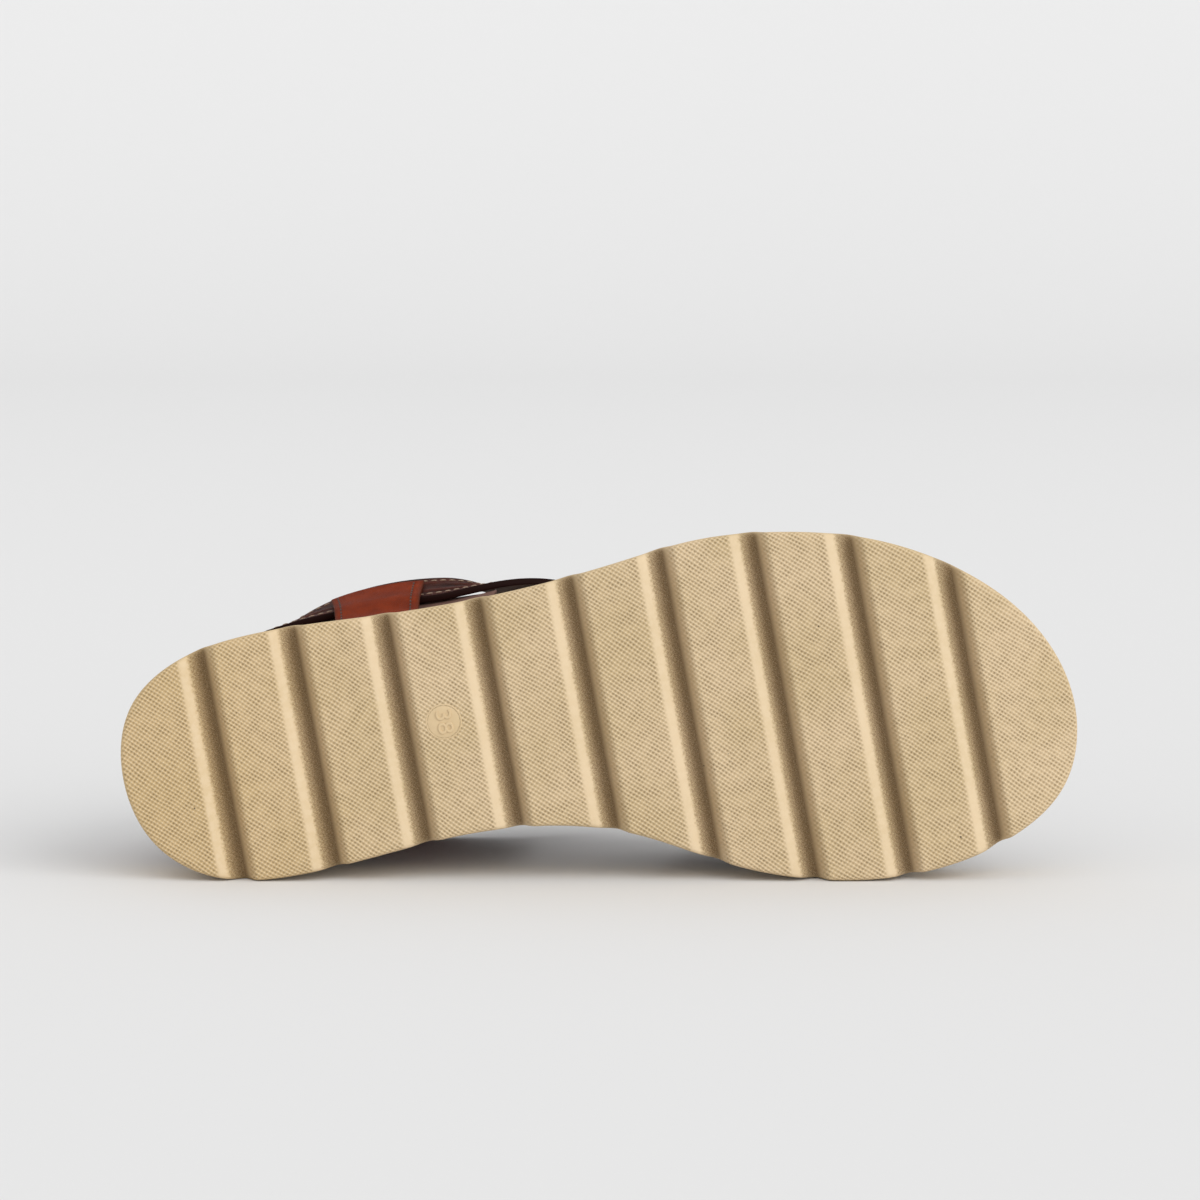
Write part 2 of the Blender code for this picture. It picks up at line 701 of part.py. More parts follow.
def make_forefoot_straps():
    """Two crossed forefoot straps, joined where they cross."""
    front = (FRONT_STRAP_INNER, FRONT_STRAP_OUTER)
    rear = (REAR_STRAP_INNER, REAR_STRAP_OUTER)
    lower = vamp_strap("forefoot_straps", *rear)
    upper = vamp_strap("upper_strap", *front, under=rear)
    SANDAL.objects.unlink(upper)
    CUTTERS.objects.link(upper)
    upper.hide_render = True
    upper.display_type = "WIRE"
    join = lower.modifiers.new("Join at the crossing", "BOOLEAN")
    join.operation = "UNION"
    join.object = upper
    return lower


def evaluated_points(objects):
    """All points of the finished meshes, in the sandal's own frame."""
    graph = bpy.context.evaluated_depsgraph_get()
    points = []
    for obj in objects:
        finished = obj.evaluated_get(graph)
        mesh = finished.to_mesh()
        points += [tuple(vertex.co) for vertex in mesh.vertices]
        finished.to_mesh_clear()
    return np.array(points)


def lay_on_side(objects):
    """Lays the sandal down on heel and ball of its inner sole edge and on its inner tab."""
    points = evaluated_points(objects)
    heel = TREAD_OUTLINE[TREAD_OUTLINE[:, 0] < SOLE_LENGTH / 2]
    ball = TREAD_OUTLINE[TREAD_OUTLINE[:, 0] >= SOLE_LENGTH / 2]
    yaw = 0.0
    for _ in range(12):
        square = np.array([math.sin(yaw), math.cos(yaw)])
        heel_point = heel[(heel @ square).argmax()]
        ball_point = ball[(ball @ square).argmax()]
        yaw = -math.atan2(ball_point[1] - heel_point[1], ball_point[0] - heel_point[0])
    inwards = points[:, 0] * math.sin(yaw) + points[:, 1] * math.cos(yaw)
    edge = (ball @ np.array([math.sin(yaw), math.cos(yaw)])).max()
    upper = points[:, 2] > HEEL_THICKNESS
    lean = np.arctan2(edge - inwards[upper], points[upper, 2]).min()
    turn = Matrix.Rotation(-(math.pi / 2 + lean), 4, "X") @ Matrix.Rotation(yaw, 4, "Z")
    placed = points @ np.array(turn.to_3x3()).T
    low, high = placed.min(axis=0), placed.max(axis=0)
    centre = (low + high) / 2
    FRAME.matrix_world = Matrix.Translation((-centre[0], -centre[1], -low[2])) @ turn


for old in list(bpy.data.objects):
    bpy.data.objects.remove(old)

SANDAL = bpy.data.collections.new("comfort_sandal")
CUTTERS = bpy.data.collections.new("cutters")
bpy.context.scene.collection.children.link(SANDAL)
bpy.context.scene.collection.children.link(CUTTERS)
FRAME = bpy.data.objects.new("sandal_frame", None)
SANDAL.objects.link(FRAME)

make_outsole()
make_footbed()
make_heel_counter()
make_side_tab("side_tab_inner", 1)
make_side_tab("side_tab_outer", -1)
make_instep_strap()
make_buckle()
make_keeper()
make_forefoot_straps()
lay_on_side([obj for obj in SANDAL.objects if obj.type != "EMPTY"])
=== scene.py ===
# %% [markdown]
# # A comfort sandal, lying on its inner side
#
# The sandal lies on the edge of its sole, with the tread to the camera. So the tread is most of the
# picture, and only a sliver of the straps shows above it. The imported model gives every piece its
# place. This script makes the fine surfaces, the finishes, the light and the camera.

# %% Load the fixed frame
import functools
import json
import math

import bmesh
import bpy
import numpy as np
from mathutils import Matrix, Vector


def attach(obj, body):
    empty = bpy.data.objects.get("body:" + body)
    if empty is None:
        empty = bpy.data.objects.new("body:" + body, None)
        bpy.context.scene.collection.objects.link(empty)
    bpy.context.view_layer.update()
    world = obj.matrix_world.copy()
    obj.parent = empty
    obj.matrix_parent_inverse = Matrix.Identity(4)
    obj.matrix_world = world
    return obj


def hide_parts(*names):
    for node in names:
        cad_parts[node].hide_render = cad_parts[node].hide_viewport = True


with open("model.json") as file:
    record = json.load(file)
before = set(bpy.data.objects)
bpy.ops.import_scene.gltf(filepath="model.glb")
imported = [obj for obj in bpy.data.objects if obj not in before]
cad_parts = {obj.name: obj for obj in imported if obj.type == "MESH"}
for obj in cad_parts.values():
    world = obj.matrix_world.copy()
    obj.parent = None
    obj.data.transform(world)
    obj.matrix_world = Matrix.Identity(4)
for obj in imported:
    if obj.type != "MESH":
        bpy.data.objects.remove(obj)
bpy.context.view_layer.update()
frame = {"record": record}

# %% [markdown]
# The sandal is easiest to think about in its own frame: x from heel to toe, square to the grooves, y
# to the inner side of the foot and z up from the tread. Two flat spots of the tread are stated in the
# record, one at the heel and one at the ball, and a plane with two points on it fixes such a frame.
# So nothing about how the sandal lies has to be typed in again.

# %% Find the sandal's own frame from its two flat spots
HEEL_SPOT = (0.038044, 0.0)
BALL_SPOT = (0.163544, 0.009)

mounts = {mount["name"]: mount for mount in frame["record"]["mounts"]}
heel_place = Vector(mounts["heel_tread"]["pos_m"])
ball_place = Vector(mounts["ball_tread"]["pos_m"])
up = -Vector(mounts["heel_tread"]["axis"]).normalized()
between = ball_place - heel_place
between = (between - between.dot(up) * up).normalized()
skew = math.atan2(BALL_SPOT[1] - HEEL_SPOT[1], BALL_SPOT[0] - HEEL_SPOT[0])
forward = between * math.cos(skew) - up.cross(between) * math.sin(skew)
inward = up.cross(forward)
turn_frame = Matrix((forward, inward, up)).transposed()
origin = heel_place - turn_frame @ Vector((*HEEL_SPOT, 0.0))
SANDAL = Matrix.Translation(origin) @ turn_frame.to_4x4()
print("forward, inward and up:", forward, inward, up)

# %% [markdown]
# A sole is drawn from a few sizes: its length, its width at the ball and its thickness. The outline is
# one closed curve through two dozen points, written as shares of length and width, so it can be set
# beside any other size. A cubic spline through them is smooth in its bends too, which a polygon or a
# chain of arcs would not be. The curve comes from one small system of equations.

# %% Sizes of the sole, and its outline
SOLE_LENGTH = 0.2542
BALL_WIDTH = 0.0949
HEEL_THICKNESS = 0.0270
FOREFOOT_THICKNESS = 0.0200
TOE_SPRING = 0.0070
TOE_SPRING_LENGTH = 0.0692
HEEL_BEVEL = 0.0010
HEEL_BEVEL_LENGTH = 0.030
SIDE_TAPER = 0.0022
EDGE_ROUND = 0.0012
LEDGE = 0.0046
GAP = 0.0003
SEAT_SLOPE = (0.20, 0.68)
SPAN_POINTS = 24

OUTLINE = [
    # forward, inner
    (0.0000, 0.000),
    (0.0236, -0.210),
    (0.0708, -0.300),
    (0.1570, -0.344),
    (0.2950, -0.332),
    (0.4330, -0.329),
    (0.5510, -0.353),
    (0.6370, -0.375),
    (0.7280, -0.353),
    (0.8140, -0.292),
    (0.8970, -0.172),
    (0.9640, 0.004),
    (1.0000, 0.279),
    (0.9720, 0.508),
    (0.9130, 0.612),
    (0.8060, 0.666),
    (0.7000, 0.631),
    (0.6100, 0.541),
    (0.5190, 0.410),
    (0.4330, 0.342),
    (0.3340, 0.323),
    (0.1570, 0.348),
    (0.0708, 0.305),
    (0.0236, 0.203),
]


def soft_step(low, high, value):
    """0 below low, 1 above high and smooth between; numbers or arrays."""
    share = np.clip((value - low) / (high - low), 0.0, 1.0)
    return share * share * (3 - 2 * share)


def closed_spline(knots):
    """A closed cubic spline through the knots, as points."""
    knots = np.array(knots)
    count = len(knots)
    chords = np.roll(knots, -1, axis=0) - knots
    spans = np.linalg.norm(chords, axis=1)
    slopes = chords / spans[:, None]
    system = np.zeros((count, count))
    for i in range(count):
        system[i, i - 1] += spans[i - 1]
        system[i, i] += 2 * (spans[i - 1] + spans[i])
        system[i, (i + 1) % count] += spans[i]
    bends = np.linalg.solve(system, 6 * (slopes - np.roll(slopes, 1, axis=0)))
    points = []
    for i in range(count):
        after = (i + 1) % count
        for t in np.linspace(0, 1, SPAN_POINTS, endpoint=False):
            s = 1 - t
            bow = (s**3 - s) * bends[i] + (t**3 - t) * bends[after]
            points.append(s * knots[i] + t * knots[after] + spans[i] ** 2 / 6 * bow)
    return np.array(points)


def inset(outline, distance):
    """The outline moved inwards by a distance, point by point."""
    along = np.roll(outline, -1, axis=0) - np.roll(outline, 1, axis=0)
    along /= np.linalg.norm(along, axis=1)[:, None]
    return outline + distance * np.stack([-along[:, 1], along[:, 0]], axis=1)


def across(outline, x):
    """Where the line at x crosses the outline: (outer side, inner side)."""
    low, high = outline[:, 0].min(), outline[:, 0].max()
    if x <= low or x >= high:
        end = outline[outline[:, 0].argmin() if x <= low else outline[:, 0].argmax(), 1]
        return float(end), float(end)
    after = np.roll(outline, -1, axis=0)
    crossing = (outline[:, 0] - x) * (after[:, 0] - x) <= 0
    crossing &= outline[:, 0] != after[:, 0]
    a, b = outline[crossing], after[crossing]
    y = a[:, 1] + (x - a[:, 0]) / (b[:, 0] - a[:, 0]) * (b[:, 1] - a[:, 1])
    return float(y.min()), float(y.max())


TREAD_OUTLINE = closed_spline([(x * SOLE_LENGTH, y * BALL_WIDTH) for x, y in OUTLINE])
FOOTBED_EDGE = inset(TREAD_OUTLINE, SIDE_TAPER + LEDGE)
FEATHER_EDGE = inset(TREAD_OUTLINE, SIDE_TAPER + LEDGE - GAP)
print("outline points:", len(TREAD_OUTLINE))

# %% [markdown]
# Nine grooves cross the tread. Each has a round shoulder on its heel side, a ramp down to its floor
# and a steeper wall on its toe side. In the mould they are one cutter run nine times, so here one
# short table of depths is read on a smooth curve and repeated at the pitch. The solid in the frame
# uses the same places with flat facets. Here the profile is read finely enough to look round.

# %% Grooves and heights of the sole
GROOVE_PITCH = 0.0251
GROOVE_COUNT = 9
FIRST_GROOVE = 0.0269
GROOVE_DEPTH = 0.0052
GROOVE_REACH = 0.0074
LAST_GROOVE = FIRST_GROOVE + (GROOVE_COUNT - 1) * GROOVE_PITCH

GROOVE_PROFILE = [
    # reach, depth
    (-1.00, 0.00),
    (-0.78, 0.04),
    (-0.60, 0.15),
    (-0.45, 0.36),
    (-0.16, 0.88),
    (0.00, 1.00),
    (0.10, 0.92),
    (0.28, 0.42),
    (0.39, 0.12),
    (0.50, 0.00),
]


def smooth_row(table, place):
    """Reads the second column of a table at a place in its first, on a smooth curve."""
    places = np.array([row[0] for row in table])
    values = np.array([row[1] for row in table])
    slopes = np.gradient(values, places)
    slopes[0] = slopes[-1] = 0.0
    place = np.clip(place, places[0], places[-1])
    i = np.clip(np.searchsorted(places, place, side="right") - 1, 0, len(places) - 2)
    span = places[i + 1] - places[i]
    t = (place - places[i]) / span
    start = (1 + 2 * t) * (1 - t) ** 2 * values[i] + t * (1 - t) ** 2 * span * slopes[i]
    end = t * t * (3 - 2 * t) * values[i + 1] + t * t * (t - 1) * span * slopes[i + 1]
    return start + end


def groove_cut(x):
    """Depth of the tread's grooves at x."""
    nearest = np.clip(np.round((x - FIRST_GROOVE) / GROOVE_PITCH), 0, GROOVE_COUNT - 1)
    reach_share = (x - FIRST_GROOVE - nearest * GROOVE_PITCH) / GROOVE_REACH
    inside = (reach_share > GROOVE_PROFILE[0][0]) & (reach_share < GROOVE_PROFILE[-1][0])
    return float(GROOVE_DEPTH * smooth_row(GROOVE_PROFILE, reach_share) * inside)


def tread_base(x):
    """Height of the uncut tread: flat, with the toe's spring and a slight lift at the heel."""
    toe = max(0.0, x - SOLE_LENGTH + TOE_SPRING_LENGTH) / TOE_SPRING_LENGTH
    heel = max(0.0, HEEL_BEVEL_LENGTH - x) / HEEL_BEVEL_LENGTH
    return TOE_SPRING * toe**2 + HEEL_BEVEL * heel**2


def seat_height(x):
    """Height of the sole's top, which slopes down from the heel and follows the toe's spring."""
    slope = soft_step(SEAT_SLOPE[0] * SOLE_LENGTH, SEAT_SLOPE[1] * SOLE_LENGTH, x)
    thickness = HEEL_THICKNESS + (FOREFOOT_THICKNESS - HEEL_THICKNESS) * slope
    return float(thickness + max(0.0, tread_base(x) - HEEL_BEVEL))


def fitted(edge, x):
    """Moves a place along the sole so that the whole length just fits an inset edge's two ends."""
    heel = 1 - soft_step(0, FIRST_GROOVE - GROOVE_REACH, x)
    toe = soft_step(LAST_GROOVE + GROOVE_REACH, SOLE_LENGTH, x)
    return float(x + heel * edge[:, 0].min() + toe * (edge[:, 0].max() - SOLE_LENGTH))


print("grooves from", FIRST_GROOVE, "to", round(LAST_GROOVE, 4))

# %% [markdown]
# Every skin here is a grid of points: rows along the piece and columns round it. One helper turns such
# a grid into a mesh with flat map coordinates in metres, so that a finish can be drawn on it at its
# real scale, and with a few named numbers for each point. Those numbers tell the finish where it is:
# on the tread or beside it, on which face of the leather, how deep in a crease.

# %% A helper that turns rows of points into a mesh
def show(name, mesh):
    """Adds an object that shows a mesh, with a smooth look."""
    mesh.shade_smooth()
    obj = bpy.data.objects.new(name, mesh)
    bpy.context.scene.collection.objects.link(obj)
    return obj


def ride(name, mesh):
    """Shows a mesh that belongs to the sandal."""
    obj = show(name, mesh)
    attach(obj, "root")
    return obj


def grid_faces(count, around):
    """Faces between count rings with around points each."""
    i, j = np.meshgrid(np.arange(count - 1), np.arange(around), indexing="ij")
    row, after = i * around, (j + 1) % around
    corners = [row + j, row + after, row + around + after, row + around + j]
    return np.stack(corners, axis=-1).reshape(-1, 4).tolist()


def end_faces(count, around):
    """The two faces that cap such a grid."""
    return [list(range(around)), list(range((count - 1) * around, count * around))[::-1]]


def skin(name, rows, flat, marks, capped=False):
    """Makes a mesh through rings of points in the sandal's frame, placed in the row frame.

    flat holds each point's map coordinates and marks maps a name to one number for each point.
    """
    rows = np.asarray(rows, float)
    count, around = rows.shape[:2]
    faces = grid_faces(count, around) + (end_faces(count, around) if capped else [])
    mesh = bpy.data.meshes.new(name)
    mesh.from_pydata(rows.reshape(-1, 3).tolist(), [], faces)
    owners = np.zeros(len(mesh.loops), int)
    mesh.loops.foreach_get("vertex_index", owners)
    layer = mesh.uv_layers.new(name="flat")
    layer.data.foreach_set("uv", np.asarray(flat, float).reshape(-1, 2)[owners].ravel())
    for mark, values in marks.items():
        attribute = mesh.attributes.new(mark, "FLOAT", "POINT")
        attribute.data.foreach_set("value", np.asarray(values, float).ravel())
    form = bmesh.new()
    form.from_mesh(mesh)
    bmesh.ops.remove_doubles(form, verts=form.verts, dist=1e-6)
    bmesh.ops.recalc_face_normals(form, faces=form.faces)
    form.to_mesh(mesh)
    form.free()
    mesh.transform(SANDAL)
    return ride(name, mesh)


def as_mesh(name, curve, place):
    """Makes a mesh from a curve or text, moved by a matrix, and removes the curve."""
    drawn = bpy.data.objects.new(name + "_curve", curve)
    bpy.context.scene.collection.objects.link(drawn)
    graph = bpy.context.evaluated_depsgraph_get()
    mesh = bpy.data.meshes.new_from_object(drawn.evaluated_get(graph))
    bpy.data.objects.remove(drawn)
    bpy.data.curves.remove(curve)
    mesh.name = name
    mesh.materials.clear()
    mesh.transform(place)
    return ride(name, mesh)


def crowded(start, end, count):
    """Places from start to end that crowd towards start, where an outline turns round."""
    return [start + (end - start) * (i / count) ** 2 for i in range(count + 1)]


print("grid helper ready")

# %% [markdown]
# The sole is one moulded block. Its section at each place along the foot is a ring: across the tread,
# round the edge, up the side, over the ledge and back. The tread gets the most columns. A row lies
# every half millimetre, because the grooves need it.

# %% Build the sole
SOLE_STEP = 0.00055
TREAD_COLUMNS = 30
SIDE_COLUMNS = 8
TOP_COLUMNS = 8
EDGE_STEPS = 4
HEEL_ROWS = 30
TOE_ROWS = 34
LIP_SHARE = 0.15


def sole_levels():
    """Levels of the sole's side: (inset, rise above the tread, share of the way up the side)."""
    levels = []
    for i in range(EDGE_STEPS + 1):
        angle = math.pi / 2 * i / EDGE_STEPS
        levels.append((EDGE_ROUND * (1 - math.sin(angle)), EDGE_ROUND * (1 - math.cos(angle)), 0.0))
    for i in range(1, SIDE_COLUMNS + 1):
        share = i / SIDE_COLUMNS
        rise = EDGE_ROUND * (1 - share) - EDGE_ROUND / 2 * share
        levels.append((SIDE_TAPER * share, rise, share))
    levels.append((SIDE_TAPER + LIP_SHARE * EDGE_ROUND, -LIP_SHARE * EDGE_ROUND, 1.0))
    levels.append((SIDE_TAPER + EDGE_ROUND / 2, 0.0, 1.0))
    return levels


def evenly(start, end, count):
    """Count + 1 places from start to end."""
    return [start + (end - start) * i / count for i in range(count + 1)]


def sole_ring(x, levels, edges):
    """One ring of the sole at x: (x, y, z, share on the tread) for each point, and its tread's height."""
    bottom = tread_base(x) + groove_cut(x)
    outer, inner = [], []
    for (_, rise, share), edge in zip(levels, edges):
        place = fitted(edge, x)
        low, high = across(edge, place)
        z = bottom * (1 - share) + seat_height(place) * share + rise
        on_tread = 1 - rise / EDGE_ROUND if share == 0.0 else 0.0
        outer.append((place, low, z, on_tread))
        inner.append((place, high, z, on_tread))
    under = [(outer[0][0], y, bottom, 1.0) for y in evenly(inner[0][1], outer[0][1], TREAD_COLUMNS)]
    top_place, top_low, top, _ = outer[-1]
    over = [(top_place, y, top, 0.0) for y in evenly(top_low, inner[-1][1], TOP_COLUMNS)[1:-1]]
    return under + outer[1:] + over + inner[:0:-1], bottom


def make_sole():
    levels = sole_levels()
    edges = [inset(TREAD_OUTLINE, distance) for distance, _, _ in levels]
    heel_land, toe_land = FIRST_GROOVE - GROOVE_REACH, LAST_GROOVE + GROOVE_REACH
    middle = np.linspace(heel_land, toe_land, round((toe_land - heel_land) / SOLE_STEP) + 1)
    stations = crowded(0.0, heel_land, HEEL_ROWS)[:-1] + list(middle)
    stations += crowded(SOLE_LENGTH, toe_land, TOE_ROWS)[-2::-1]
    rows, flat, tread = [], [], []
    for x in stations:
        ring, bottom = sole_ring(x, levels, edges)
        rows.append([point[:3] for point in ring])
        flat.append([(p[0], p[1] + (p[2] - bottom) * (1 - p[3]) * (1 if p[1] > 0 else -1)) for p in ring])
        tread.append([point[3] for point in ring])
    return skin("sole", rows, flat, {"tread": tread})


sole = make_sole()
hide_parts("outsole")
print("sole:", len(sole.data.polygons), "faces")

# %% [markdown]
# Near the waist the tread carries a small round mark with the size number, 38. In the mould it is an
# insert, so it has a thin joint groove round it, no canvas print, and digits that stand up a little. A
# turned disc gives the first two, with painted shade in the groove, and a text object gives plain
# digits with soft edges. They read across the foot, so the text is turned a quarter.

# %% Build the size mark
MARK_PLACE = (0.0872, -0.0003)
MARK_RADIUS = 0.00455
MARK_PROUD = 0.00010
DIGIT_SIZE = 0.0059
DIGIT_SPREAD = 1.16
DIGIT_RISE = 0.00010
DIGIT_ROUND = 0.00022
DIGIT_THINNING = 0.00014
MARK_STEPS = 64
MARK_PROFILE = [
    # share of the radius, share of how far it stands out
    (0.00, 0.6),
    (0.50, 0.6),
    (0.90, 0.6),
    (0.93, 0.2),
    (0.955, -0.3),
    (0.98, 0.5),
    (1.01, 1.3),
    (1.04, 0.9),
    (1.07, -0.5),
]


def make_size_mark():
    rows, radius = [], []
    for share, proud in MARK_PROFILE:
        ring = []
        for i in range(MARK_STEPS):
            angle = 2 * math.pi * i / MARK_STEPS
            x = MARK_PLACE[0] + MARK_RADIUS * share * math.cos(angle)
            y = MARK_PLACE[1] + MARK_RADIUS * share * math.sin(angle)
            ring.append((x, y, -MARK_PROUD * proud))
        rows.append(ring)
        radius.append([share] * MARK_STEPS)
    flat = [[point[:2] for point in ring] for ring in rows]
    disc = skin("size_mark", rows, flat, {"radius": radius})
    text = bpy.data.curves.new("size_digits", "FONT")
    text.body = "38"
    text.size = DIGIT_SIZE
    text.align_x = "CENTER"
    text.align_y = "CENTER"
    text.extrude = DIGIT_RISE
    text.bevel_depth = DIGIT_ROUND
    text.bevel_resolution = 3
    text.offset = -DIGIT_THINNING
    face = -MARK_PROUD * MARK_PROFILE[0][1]
    lay = Matrix.Translation((*MARK_PLACE, face)) @ Matrix.Rotation(math.pi, 4, "X")
    turned = Matrix.Rotation(-math.pi / 2, 4, "Z")
    spread = Matrix.Diagonal((DIGIT_SPREAD, 1.0, 1.0, 1.0))
    return disc, as_mesh("size_digits", text, SANDAL @ lay @ turned @ spread)


size_mark, size_digits = make_size_mark()
print("size mark:", len(size_mark.data.polygons), "faces, digits:", len(size_digits.data.polygons))

# %% [markdown]
# The footbed is a foam shape covered with soft brushed leather. It has a cup for the heel and a rise
# under the arch. Its cover is drawn down over a rounded edge, so its section is again a ring, with a
# flat underside on the sole.

# %% Build the footbed
FOOTBED_THICKNESS = 0.0045
HEEL_CUP_RISE = 0.0040
ARCH_RISE = 0.0040
FOOTBED_ROUND = 0.0012
FOOTBED_ROWS = 160
FOOTBED_COLUMNS = 40
HEEL_CUP_SPAN = (0.10, 0.46)
BACK_SPAN = 0.09
ARCH_MIDDLE = 0.42
ARCH_SPAN = 0.13


def footbed_top(x, y, low, high):
    """Height of the footbed above its seat."""
    side = (y - (low + high) / 2) / max((high - low) / 2, 1e-6)
    share = x / SOLE_LENGTH
    cup = HEEL_CUP_RISE * (1 - soft_step(*HEEL_CUP_SPAN, share))
    arch = ARCH_RISE * math.exp(-(((share - ARCH_MIDDLE) / ARCH_SPAN) ** 2)) * soft_step(0.0, 1.0, side)
    back = 1 - soft_step(0.0, BACK_SPAN, share)
    return float(FOOTBED_THICKNESS + cup * max(side**4, back) + arch)


def make_footbed():
    heel, toe = FOOTBED_EDGE[:, 0].min(), FOOTBED_EDGE[:, 0].max()
    middle = (heel + toe) / 2
    half_rows = FOOTBED_ROWS // 2
    stations = crowded(heel, middle, half_rows)[:-1] + crowded(toe, middle, half_rows)[::-1]
    shares = np.sin(np.linspace(math.pi / 2, -math.pi / 2, FOOTBED_COLUMNS + 1))
    rows, flat, rim = [], [], []
    for x in stations:
        low, high = across(FOOTBED_EDGE, x)
        seat = seat_height(x) + GAP
        half = (high - low) / 2
        ring = [(x, low, seat), (x, (low + high) / 2, seat), (x, high, seat)]
        marks = [0.0, 0.0, 0.0]
        for share in shares:
            y = (low + high) / 2 + share * half
            from_edge = half * (1 - abs(share))
            drop = FOOTBED_ROUND * (1 - min(1.0, from_edge / FOOTBED_ROUND)) ** 2
            ring.append((x, y, seat + footbed_top(x, y, low, high) - drop))
            marks.append(from_edge * 1000)
        rows.append(ring)
        flat.append([(p[0], p[1]) for p in ring])
        rim.append(marks)
    return skin("footbed_cover", rows, flat, {"rim": rim})


footbed = make_footbed()
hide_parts("footbed")
print("footbed:", len(footbed.data.polygons), "faces")

# %% [markdown]
# The back of the sandal is three layers on one shape. A counter stands on the sole's ledge, a strap
# runs round it and over the instep, and a tab on each side is sewn over the strap. The shape they
# share is worked out once: a ring in plan, a wall from the ledge up to it, and a slope over the
# instep. A point on it is named by its turn round the ring, its rise along the wall and how far it
# lies off the surface. So the layers always stay one gap apart.

# %% The shape under the straps
COLLAR_CENTRE = 0.0742
COLLAR_HALF_LENGTH = 0.0597
COLLAR_HALF_WIDTH = 0.0314
COLLAR_FULLNESS = 0.88
INSTEP_FULLNESS = 0.75
COLLAR_HEIGHT = 0.075
INSTEP_RISE = 0.012
INSTEP_SLOPE = math.radians(45)
INSTEP_FADE = 0.034
HEEL_BULGE = 0.0022
HEEL_CURL = 1.6
SIDE_CURL = 3.0
INSTEP_TURN = (0.25, 0.90)
INSTEP_NARROWING = (0.0, 0.6)
INSTEP_CLIMB = (0.1, 1.0)
HEEL_TURN = (0.2, 1.0)
STRAP_WIDTH = 0.018
STRAP_WALL = 0.0020
COUNTER_WALL = 0.0018
TAB_WALL = 0.0012
COLLAR_FOOT = inset(TREAD_OUTLINE, SIDE_TAPER + LEDGE - 3 * GAP - COUNTER_WALL)


def reach(direction):
    """How far the counter's foot lies from the collar's centre in a direction."""
    start = COLLAR_FOOT - np.array([COLLAR_CENTRE, 0.0])
    step = np.roll(start, -1, axis=0) - start
    side = direction[0] * step[:, 1] - direction[1] * step[:, 0]
    side[side == 0] = 1e-12
    share = (start[:, 0] * direction[1] - start[:, 1] * direction[0]) / side
    distance = (start[:, 0] * step[:, 1] - start[:, 1] * step[:, 0]) / side
    hits = (share >= 0) & (share <= 1) & (distance > 0)
    return float(distance[hits].min())


def collar_height(turn):
    """Height of the ring's middle line: level at the heel, higher over the instep."""
    return COLLAR_HEIGHT + INSTEP_RISE * float(soft_step(*INSTEP_CLIMB, math.cos(turn)))


@functools.lru_cache(maxsize=None)
def collar_spoke(turn):
    """The collar ring at a turn: its radius, direction, foot and the drop to the ledge."""
    front = float(soft_step(*INSTEP_NARROWING, math.cos(turn)))
    fullness = COLLAR_FULLNESS + (INSTEP_FULLNESS - COLLAR_FULLNESS) * front
    side = math.copysign(abs(math.sin(turn)) ** fullness, math.sin(turn))
    spoke = np.array([COLLAR_HALF_LENGTH * math.cos(turn), COLLAR_HALF_WIDTH * side])
    ring = float(np.linalg.norm(spoke))
    direction = spoke / ring
    foot = reach(direction)
    drop = collar_height(turn) - seat_height(COLLAR_CENTRE + foot * direction[0]) - GAP
    return ring, direction, foot, drop


def collar_surface(turn, rise):
    """Face under the strap: turn runs round from the toe over the inner side, rise goes up."""
    ring, direction, foot, drop = collar_spoke(turn)
    wall_rise = rise * drop / math.hypot(drop, foot - ring)
    share = max(0.0, 1 + wall_rise / drop)
    rear = float(soft_step(*HEEL_TURN, -math.cos(turn)))
    curl = HEEL_CURL + (SIDE_CURL - HEEL_CURL) * math.sin(turn) ** 2
    wall = foot + (ring - foot) * share**curl + HEEL_BULGE * rear * math.sin(math.pi * share)
    above = float(soft_step(-INSTEP_FADE, -STRAP_WIDTH / 2, rise))
    front = float(soft_step(*INSTEP_TURN, math.cos(turn))) * above
    distance = wall * (1 - front) + (ring - rise * math.sin(INSTEP_SLOPE)) * front
    climb = wall_rise * (1 - front) + rise * math.cos(INSTEP_SLOPE) * front
    x, y = COLLAR_CENTRE + distance * direction[0], distance * direction[1]
    return np.array((x, y, collar_height(turn) + climb))


def off_surface(surface, u, v, lift, step_u, step_v):
    """A point moved off a surface along its normal, away from the foot."""
    along_u = surface(u + step_u, v) - surface(u - step_u, v)
    along_v = surface(u, v + step_v) - surface(u, v - step_v)
    normal = np.cross(along_u, along_v)
    return surface(u, v) + lift * normal / np.linalg.norm(normal)


def collar_point(turn, rise, lift):
    """A point off the collar's surface by lift."""
    return off_surface(collar_surface, turn, rise, lift, math.radians(1), 0.001)


def foot_rise(turn):
    """The rise at which the collar's surface meets the sole's ledge."""
    ring, _, foot, drop = collar_spoke(turn)
    return -math.hypot(drop, foot - ring)


def turn_at(x):
    """The turn, between 0 and pi, at which the collar ring passes x."""
    return math.acos((x - COLLAR_CENTRE) / COLLAR_HALF_LENGTH)


def turn_after(turn, distance, steps=20):
    """The turn that lies a distance further along the collar ring."""
    for _ in range(steps):
        speed = math.hypot(COLLAR_HALF_LENGTH * math.sin(turn), COLLAR_HALF_WIDTH * math.cos(turn))
        turn += distance / steps / speed
    return turn


def run_length(points):
    """Length along a line of points at each of them."""
    return np.concatenate([[0.0], np.cumsum(np.linalg.norm(np.diff(points, axis=0), axis=1))])


def along_ring(turns):
    """Length along the collar ring at each turn, from the first."""
    return run_length(np.array([collar_surface(turn, 0.0) for turn in turns]))


print("collar height at heel and instep:", collar_height(math.pi), collar_height(0.0))
